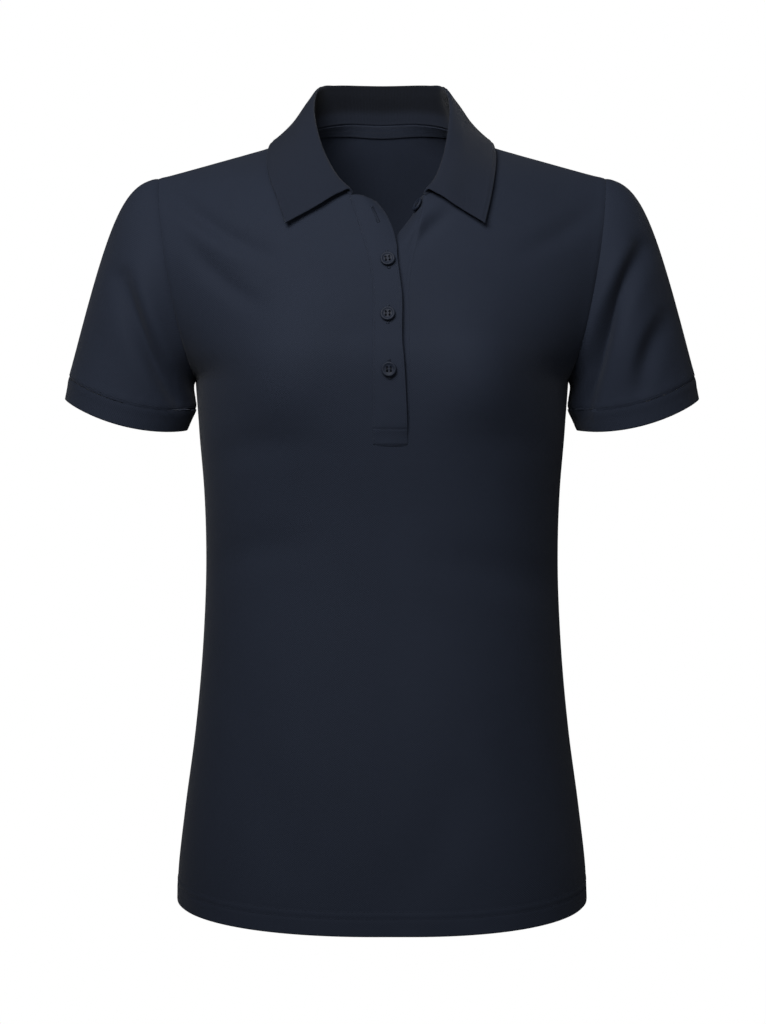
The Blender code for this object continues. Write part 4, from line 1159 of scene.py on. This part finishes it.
def tube_along(path, radius, sides):
    """A round thread along a path, with closed and tapering ends, as points and faces."""
    heading = unit(np.gradient(path, axis=0))
    side = unit(np.cross(heading, np.where(np.abs(heading[:, 2:]) > 0.9, [[1.0, 0, 0]], [[0, 0, 1.0]])))
    upright = np.cross(heading, side)
    share = np.linspace(0, 1, len(path))
    rise = THREAD_FULLNESS * np.sin(math.pi * np.clip(share, *THREAD_SWELL))
    swell = radius * np.clip(rise, THREAD_TIP, 1)
    turn = np.arange(sides)[:, None] / sides * math.tau
    rings = np.array([
        place + reach * (np.cos(turn) * a + np.sin(turn) * b)
        for place, reach, a, b in zip(path, swell, side, upright)
    ])
    foot = tuple(range(sides))[::-1]
    head = tuple(range((len(path) - 1) * sides, len(path) * sides))
    return rings.reshape(-1, 3), [*grid_faces(rings, closed=True), foot, head]


def stitch_line(path, normals, pitch=STITCH_PITCH):
    """Lockstitches along a path on the cloth, as a list of short threads."""
    lengths = path_lengths(path)
    count = max(int(lengths[-1] / pitch), 1)
    reach = 0.5 * STITCH_LENGTH * min(1, pitch / STITCH_PITCH)
    arch = STITCH_HEIGHT * np.array(STITCH_ARCH)
    shapes = []
    for number in range(count):
        at = (number + 0.5) * lengths[-1] / count + reach * np.array(STITCH_POINTS)
        places, off = read_off(path, lengths, at), read_off(normals, lengths, at)
        shapes.append(tube_along(places + arch[:, None] * off, STITCH_RADIUS, 5))
    return shapes


def grid_line(grid, normals, distance, axis, thickness):
    """A line on a grid's outer face, at a distance along each of its rows (axis 1) or columns (axis 0)."""
    runs, outer = run_lengths(grid, axis), grid + 0.5 * thickness * normals
    if axis == 0:
        runs, outer, normals = runs.T, outer.transpose(1, 0, 2), normals.transpose(1, 0, 2)
    at = [distance if distance >= 0 else run[-1] + distance for run in runs]
    path = [read_off(line, run, place) for line, run, place in zip(outer, runs, at)]
    off = [read_off(line, run, place) for line, run, place in zip(normals, runs, at)]
    return np.array(path), unit(np.array(off))


def placing(middle, axes):
    """The matrix that stands an object in millimetre places on three directions."""
    turned = Matrix(axes.tolist()).transposed().to_4x4()
    return Matrix.Translation(Vector((middle * MM).tolist())) @ turned


def button_thread(middle, axes):
    """Two pairs of threads, each over the bar between two of a button's holes."""
    turn = np.linspace(0, math.pi, 9)
    y, z = BUTTON_HOLE_OFFSET * np.cos(turn), THREAD_FOOT + THREAD_RISE * np.sin(turn) ** 0.6
    bars = (-BUTTON_HOLE_OFFSET, BUTTON_HOLE_OFFSET)
    columns = [bar + lean for bar in bars for lean in (-THREAD_LEAN, THREAD_LEAN)]
    return [tube_along(middle + np.column_stack([0 * y + x, y, z]) @ axes, THREAD_RADIUS, 6) for x in columns]


def buttonhole(middle, axes):
    """A ring of satin stitches round a slit that runs up the band."""
    length, half_width = BUTTONHOLE
    count = int(length / SATIN_PITCH)
    foot, top = BAND / 2 - SATIN_SINK, BAND / 2 + SATIN_RISE
    paths = []
    for side in (-1, 1):
        for number in range(count):
            y = -0.5 * length + (number + 0.5) * length / count
            inner, outer = side * SLIT_HALF_WIDTH, side * half_width
            paths.append([(inner, y, foot), ((inner + outer) / 2, y, top), (outer, y + SATIN_SLANT, foot)])
    for end in (-1, 1):
        for step in range(BAR_STITCHES):
            y = end * (0.5 * length + BAR_START + BAR_PITCH * step)
            paths.append([(-half_width, y, foot), (0, y, BAND / 2 + BAR_RISE), (half_width, y, foot)])
    return [tube_along(middle + np.array(path) @ axes, SATIN_RADIUS, 5) for path in paths]


def make_buttons(bands, materials):
    """The four buttons, and one mesh each of all the buttonholes' stitches and all the buttons' threads."""
    mesh = button_mesh(materials["button"])
    buttons, holes, threads = [], [], []
    for name, row, share in BUTTONS:
        undone = name == UNDONE_BUTTON
        middle, axes = band_place(bands, "placket_under" if undone else "placket_top", row, share)
        seat = middle + (BAND / 2 + BUTTON_STAND) * axes[2]
        button = add_object(f"{name}_shirt", mesh)
        button.matrix_world = placing(seat, axes)
        buttons.append(button)
        threads += button_thread(seat, axes)
        if not undone:
            holes += buttonhole(middle, axes)
    holes += buttonhole(*band_place(bands, "placket_top", *TOP_BUTTONHOLE))
    buttonholes = joined("buttonholes", holes, materials["thread"])
    return buttons, [buttonholes, joined("button_threads", threads, materials["button_thread"])]


def make_stitches(fields, bands, materials):
    """The rows of thread that show: hem, cuffs, placket and its box."""
    stitches = {}
    for name in ("front", "back"):
        grid, normals, thickness = fields[name]
        shapes = []
        for line in HEM_STITCH_LINES:
            path, off = grid_line(grid, normals, line, 0, thickness)
            halves = [HALF_COLUMNS + 1] if name == "back" else []
            for half_path, half_off in zip(np.split(path, halves), np.split(off, halves)):
                shapes += stitch_line(half_path, half_off)
        stitches[f"hem_{name}"] = joined(f"hem_stitches_{name}", shapes, materials["thread"])
    for side in SIDE_NAMES.values():
        grid, normals, thickness = fields[f"sleeve_{side}"]
        shapes = stitch_line(*grid_line(grid, normals, CUFF_STITCH_LINE, 0, thickness))
        stitches[f"cuff_{side}"] = joined(f"cuff_stitches_{side}", shapes, materials["thread"])
    _, _, grid = bands["placket_top"]
    normals = own_normals(grid, grid_faces(grid))
    shapes = []
    for line in BAND_STITCH_LINES:
        path, off = grid_line(grid, normals, line, 1, BAND)
        above = path_lengths(path) > BOX_STITCH_LINES[0]
        shapes += stitch_line(path[above], off[above], BAND_STITCH_PITCH)
    for line in BOX_STITCH_LINES:
        path, off = grid_line(grid, normals, line, 0, BAND)
        shapes += stitch_line(path[BOX_COLUMNS], off[BOX_COLUMNS], BAND_STITCH_PITCH)
    stitches["placket"] = joined("placket_stitches", shapes, materials["thread"])
    return stitches


# Materials.


def set_inputs(node, **values):
    """Sets a node's sockets, each named in lower case and with low lines for its spaces."""
    # Map Range has hidden sockets of the same names after those that count.
    sockets = {socket.name.lower().replace(" ", "_"): socket for socket in reversed(node.inputs.values())}
    for name, value in values.items():
        sockets[name].default_value = value


class Nodes:
    """A small helper that wires a material's nodes."""

    def __init__(self, name):
        self.material = bpy.data.materials.new(name)
        self.material.use_nodes = True
        self.tree = self.material.node_tree
        self.shader = self.tree.nodes["Principled BSDF"]
        self.places = self.tree.nodes.new("ShaderNodeTexCoord")

    def node(self, kind, **values):
        node = self.tree.nodes.new(kind)
        for key, value in values.items():
            setattr(node, key, value)
        return node

    def link(self, source, target):
        self.tree.links.new(source, target)

    def math(self, operation, first, second=0.0):
        node = self.node("ShaderNodeMath", operation=operation)
        for socket, value in zip(node.inputs, (first, second)):
            if hasattr(value, "links"):
                self.link(value, socket)
            else:
                socket.default_value = value
        return node.outputs[0]

    def total(self, *parts):
        """The sum of values, each times its weight."""
        weighed = [self.math("MULTIPLY", value, weight) for value, weight in parts]
        total = weighed[0]
        for part in weighed[1:]:
            total = self.math("ADD", total, part)
        return total

    def noise(self, scale, detail, roughness=0.55):
        node = self.node("ShaderNodeTexNoise")
        self.link(self.places.outputs["Object"], node.inputs["Vector"])
        set_inputs(node, scale=scale, detail=detail, roughness=roughness)
        return node.outputs["Fac"]

    def flat_cloth(self):
        """The flat cloth's millimetres, across and up."""
        split = self.node("ShaderNodeSeparateXYZ")
        self.link(self.places.outputs["UV"], split.inputs[0])
        return split.outputs["X"], split.outputs["Y"]

    def wave(self, value, pitch, shift=0.0):
        """A cosine of that pitch, from -1 to 1."""
        return self.math("COSINE", self.math("ADD", self.math("MULTIPLY", value, math.tau / pitch), shift))

    def knit(self, across, up, pitches, shift=0.0):
        """Cells in staggered rows, with those pitches across and up."""
        return self.math("MULTIPLY", self.wave(across, pitches[0]), self.wave(up, pitches[1], shift))

    def ramp(self, value, start, end, low, high):
        """Goes smoothly from low to high as the value goes from start to end."""
        node = self.node("ShaderNodeMapRange", interpolation_type="SMOOTHSTEP")
        set_inputs(node, from_min=start, from_max=end, to_min=low, to_max=high)
        self.link(value, node.inputs["Value"])
        return node.outputs["Result"]

    def bump(self, height, distance, strength=0.8):
        node = self.node("ShaderNodeBump")
        set_inputs(node, strength=strength, distance=distance * MM)
        self.link(height, node.inputs["Height"])
        self.link(node.outputs["Normal"], self.shader.inputs["Normal"])

    def colour(self, factor, base, dark, light):
        """The base colour's dark share where the factor is 0, and its light share where it is 1."""
        mix = self.node("ShaderNodeMix", data_type="RGBA", clamp_factor=False)
        self.link(factor, mix.inputs["Factor"])
        for socket, share in (("A", dark), ("B", light)):
            mix.inputs[socket].default_value = (*(part * share for part in base), 1)
        self.link(mix.outputs["Result"], self.shader.inputs["Base Color"])

    def surface(self, roughness, specular, sheen):
        set_inputs(self.shader, roughness=roughness, specular_ior_level=specular)
        set_inputs(self.shader, sheen_weight=sheen, sheen_roughness=0.4)
        return self.material


def pique_material():
    """Honeycomb cells in staggered rows, each knit of fine loops, with a little fluff."""
    made = Nodes("pique_navy")
    across, up = made.flat_cloth()
    cells = made.knit(across, up, PIQUE_CELLS)
    loops = made.knit(across, up, PIQUE_LOOPS, shift=1.2)
    fluff, patches = made.noise(900, 3), made.noise(14, 4, 0.6)
    made.bump(made.total((cells, 0.5), (loops, 0.12), (fluff, 0.5)), 0.16)
    made.colour(made.total((cells, 0.225), (patches, 0.75), (fluff, 0.2625)), NAVY, 0.86, 1.14)
    return made.surface(0.82, 0.16, 0.06)


def rib_material(name, pitch, base, painted_shade_stand_height=None):
    """Fine knitted ribs, each with its column of loops; on a strip with a stand, painted shade darkens the
    stand towards the back and away from its seam.
    """
    made = Nodes(name)
    across, up = made.flat_cloth()
    ribs, loops = made.wave(across, pitch), made.wave(up, RIB_LOOPS)
    fluff = made.noise(1000, 3)
    made.bump(made.total((ribs, 0.5), (loops, 0.16), (fluff, 0.4)), 0.2)
    knit_tone_and_painted_shade = made.total((ribs, 0.3), (fluff, 0.9))
    # painted shade: the stand is darkened in colour towards the back and away from its seam, where it lies in
    # the collar's shadow
    if painted_shade_stand_height:
        foot, top = PAINTED_STAND_SHADE_EDGE
        painted_shade_on_stand = made.ramp(up, painted_shade_stand_height + foot, painted_shade_stand_height + top, PAINTED_STAND_SHADE, 0.0)
        painted_shade_off_seam = made.ramp(up, *PAINTED_STAND_SHADE_START, PAINTED_STAND_SHADE_FOOT, 1.0)
        painted_shade_at_back = made.ramp(made.math("ABSOLUTE", across), *PAINTED_STAND_SHADE_ENDS, 1.0, 0.0)
        painted_shade = made.math("MULTIPLY", made.math("MULTIPLY", painted_shade_on_stand, painted_shade_off_seam), painted_shade_at_back)
        knit_tone_and_painted_shade = made.math("ADD", knit_tone_and_painted_shade, painted_shade)
    made.colour(knit_tone_and_painted_shade, base, 0.84, 1.16)
    return made.surface(0.85, 0.16, 0.06)


def tape_material():
    """A herringbone tape."""
    made = Nodes("tape_navy")
    across, up = made.flat_cloth()
    up_zigzag = made.math("MODULO", up, TAPE_ZIGZAG)
    zigzag = made.math("ABSOLUTE", made.math("SUBTRACT", up_zigzag, TAPE_ZIGZAG / 2))
    twill = made.wave(made.math("ADD", across, zigzag), TAPE_TWILL)
    fluff = made.noise(1100, 2)
    made.bump(made.total((twill, 0.5), (fluff, 0.3)), 0.15)
    made.colour(made.total((twill, 0.4), (fluff, 1.0)), TAPE_NAVY, 0.8, 1.2)
    return made.surface(0.75, 0.2, 0.04)


def thread_material(name, base):
    """Spun polyester thread, with a twist."""
    made = Nodes(name)
    twist = made.noise(2600, 2)
    made.bump(twist, 0.06, 0.7)
    made.colour(twist, base, 0.75, 1.25)
    return made.surface(0.72, 0.2, 0.03)


def button_material():
    """Cast resin with a faint cloud and a polished face."""
    made = Nodes("button_navy")
    made.bump(made.noise(700, 2), 0.02, 0.4)
    made.colour(made.noise(260, 4, 0.65), BUTTON_NAVY, 0.8, 1.25)
    return made.surface(0.55, 0.18, 0.0)


def make_materials():
    return {
        "pique": pique_material(),
        "rib_knit": rib_material("rib_navy", CUFF_RIB, NAVY),
        # the collar's flat knit, with painted shade on its stand
        "flat_knit": rib_material("flat_knit_navy", COLLAR_RIB, COLLAR_NAVY, PAINTED_SHADE_STAND_HEIGHT),
        "tape": tape_material(),
        "thread": thread_material("thread_navy", THREAD_NAVY),
        "button_thread": thread_material("button_thread_navy", BUTTON_THREAD_NAVY),
        "button": button_material(),
    }


# The set.


def area_light(name, place, aim, size, power, spread_angle):
    light = bpy.data.lights.new(name, "AREA")
    light.spread = math.radians(spread_angle)
    light.shape = "RECTANGLE"
    light.size, light.size_y = size
    light.energy = power
    lamp = add_object(name, light)
    lamp.location = place
    lamp.rotation_euler = (Vector(aim) - Vector(place)).to_track_quat("-Z", "Y").to_euler()


def make_world():
    """White behind the shirt, and a dim even light on it."""
    world = bpy.data.worlds.new("studio")
    world.use_nodes = True
    tree = world.node_tree
    tree.nodes.clear()
    kinds = ("Background", "Background", "LightPath", "MixShader", "OutputWorld")
    seen, lit, path, mix, out = (tree.nodes.new(f"ShaderNode{kind}") for kind in kinds)
    set_inputs(seen, color=(1, 1, 1, 1), strength=1.0)
    set_inputs(lit, color=WORLD_TINT, strength=WORLD_LIGHT)
    tree.links.new(path.outputs["Is Camera Ray"], mix.inputs[0])
    tree.links.new(lit.outputs[0], mix.inputs[1])
    tree.links.new(seen.outputs[0], mix.inputs[2])
    tree.links.new(mix.outputs[0], out.inputs["Surface"])
    bpy.context.scene.world = world


def make_floor():
    pale = bpy.data.materials.new("pale_floor")
    pale.use_nodes = True
    set_inputs(pale.node_tree.nodes["Principled BSDF"], base_color=FLOOR_GREY, roughness=0.9)
    corners = [(x * FLOOR_REACH, y * FLOOR_REACH, 0) for x, y in ((-1, -1), (1, -1), (1, 1), (-1, 1))]
    floor = add_object("studio_floor", new_mesh("studio_floor", corners, [(0, 1, 2, 3)], pale))
    floor.location.z = FLOOR_HEIGHT * MM


def make_camera():
    camera = bpy.data.cameras.new("camera")
    camera.sensor_fit = "HORIZONTAL"
    camera.sensor_width = SENSOR_WIDTH
    camera.lens = camera.sensor_width * CAMERA_DISTANCE / (IMAGE_WIDTH * MM_PER_PIXEL)
    eye = add_object("camera", camera)
    eye.location = (CAMERA_ACROSS * MM, -CAMERA_DISTANCE * MM, CAMERA_HEIGHT * MM)
    eye.rotation_euler = (math.radians(90), 0, 0)
    bpy.context.scene.camera = eye


def make_set():
    make_world()
    for light in LIGHTS:
        area_light(*light)
    make_floor()
    make_camera()
    bpy.context.scene.view_settings.view_transform = "Standard"


# The whole shirt.


def make_surfaces():
    """Every cut piece's surface, draped and with its relief, and where each point lay before that."""
    pieces = {"front": front_panel(), "back": back_panel(), "collar": collar()}
    for side, name in SIDE_NAMES.items():
        pieces[f"sleeve_{name}"], pieces[f"cuff_{name}"] = sleeve(side), cuff(side)
    base = {name: grid.reshape(-1, 3) for name, (grid, _, _) in pieces.items()}
    pieces = drape(pieces)
    for side, name in SIDE_NAMES.items():
        grid, faces, places = pieces[f"sleeve_{name}"]
        pieces[f"sleeve_{name}"] = (ease_sleeve(grid, places, side), faces, places)
    grid, faces, places = pieces["collar"]
    pieces["collar"] = (settle_leaf(grid, places), faces, places)
    normals = shared_normals(pieces)
    for name, piece in pieces.items():
        relief = DETAILS[name.split("_")[0]](piece[0], piece[2])
        pieces[name] = moved(name, piece, normals[name], relief)
    return pieces, base


def free_edge_share(kind, places, thickness):
    """How much of its thickness a piece has at each point: less where its edge is free."""
    run, down = places[..., 0], places[..., 1]
    if kind == "collar":
        return rounded(np.minimum(from_ends(run, 0), down[:, -1:] - down), thickness)
    if kind == "cuff":
        return rounded(down[-1:] - down, thickness)
    return None if kind == "sleeve" else rounded(down, thickness)


def make_cloths(pieces, materials):
    """The cut pieces' meshes, and each one's grid, normals and thickness."""
    shared = shared_normals(pieces)
    made, fields = {}, {}
    for name, piece in pieces.items():
        grid, faces, places = piece
        kind = name.split("_")[0]
        normals = part_normals(name, grid, shared[name], own_normals(grid, faces))
        thickness, slot, suffix = CLOTHS[kind]
        share = free_edge_share(kind, places, thickness)
        made[name] = cloth(f"{name}_{suffix}", piece, normals, thickness, materials[slot], share)
        fields[name] = (grid, normals, thickness)
    return made, fields


def stand_for(piece, node):
    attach(piece, "root")
    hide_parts(node)


def main():
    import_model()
    make_set()
    materials = make_materials()
    pieces, base = make_surfaces()
    made, fields = make_cloths(pieces, materials)
    bands = make_bands((pieces["front"][0].reshape(-1, 3), base["front"]), materials)
    tape, tape_grid = make_neck_tape(pieces["back"], base["back"], materials)
    buttons, sewn = make_buttons(bands, materials)
    stitches = make_stitches(fields, bands, materials)
    for name, piece in made.items():
        stand_for(piece, name)
    for name, (band, _, _) in bands.items():
        stand_for(band, name)
    stand_for(tape, "neck_tape")
    for (name, _, _), button in zip(BUTTONS, buttons):
        stand_for(button, name)
    for piece in [*sewn, *stitches.values()]:
        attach(piece, "root")


# kind of piece: how it makes its relief
DETAILS = {
    "front": panel_detail,
    "back": panel_detail,
    "sleeve": sleeve_detail,
    "cuff": cuff_detail,
    "collar": collar_detail,
}

main()
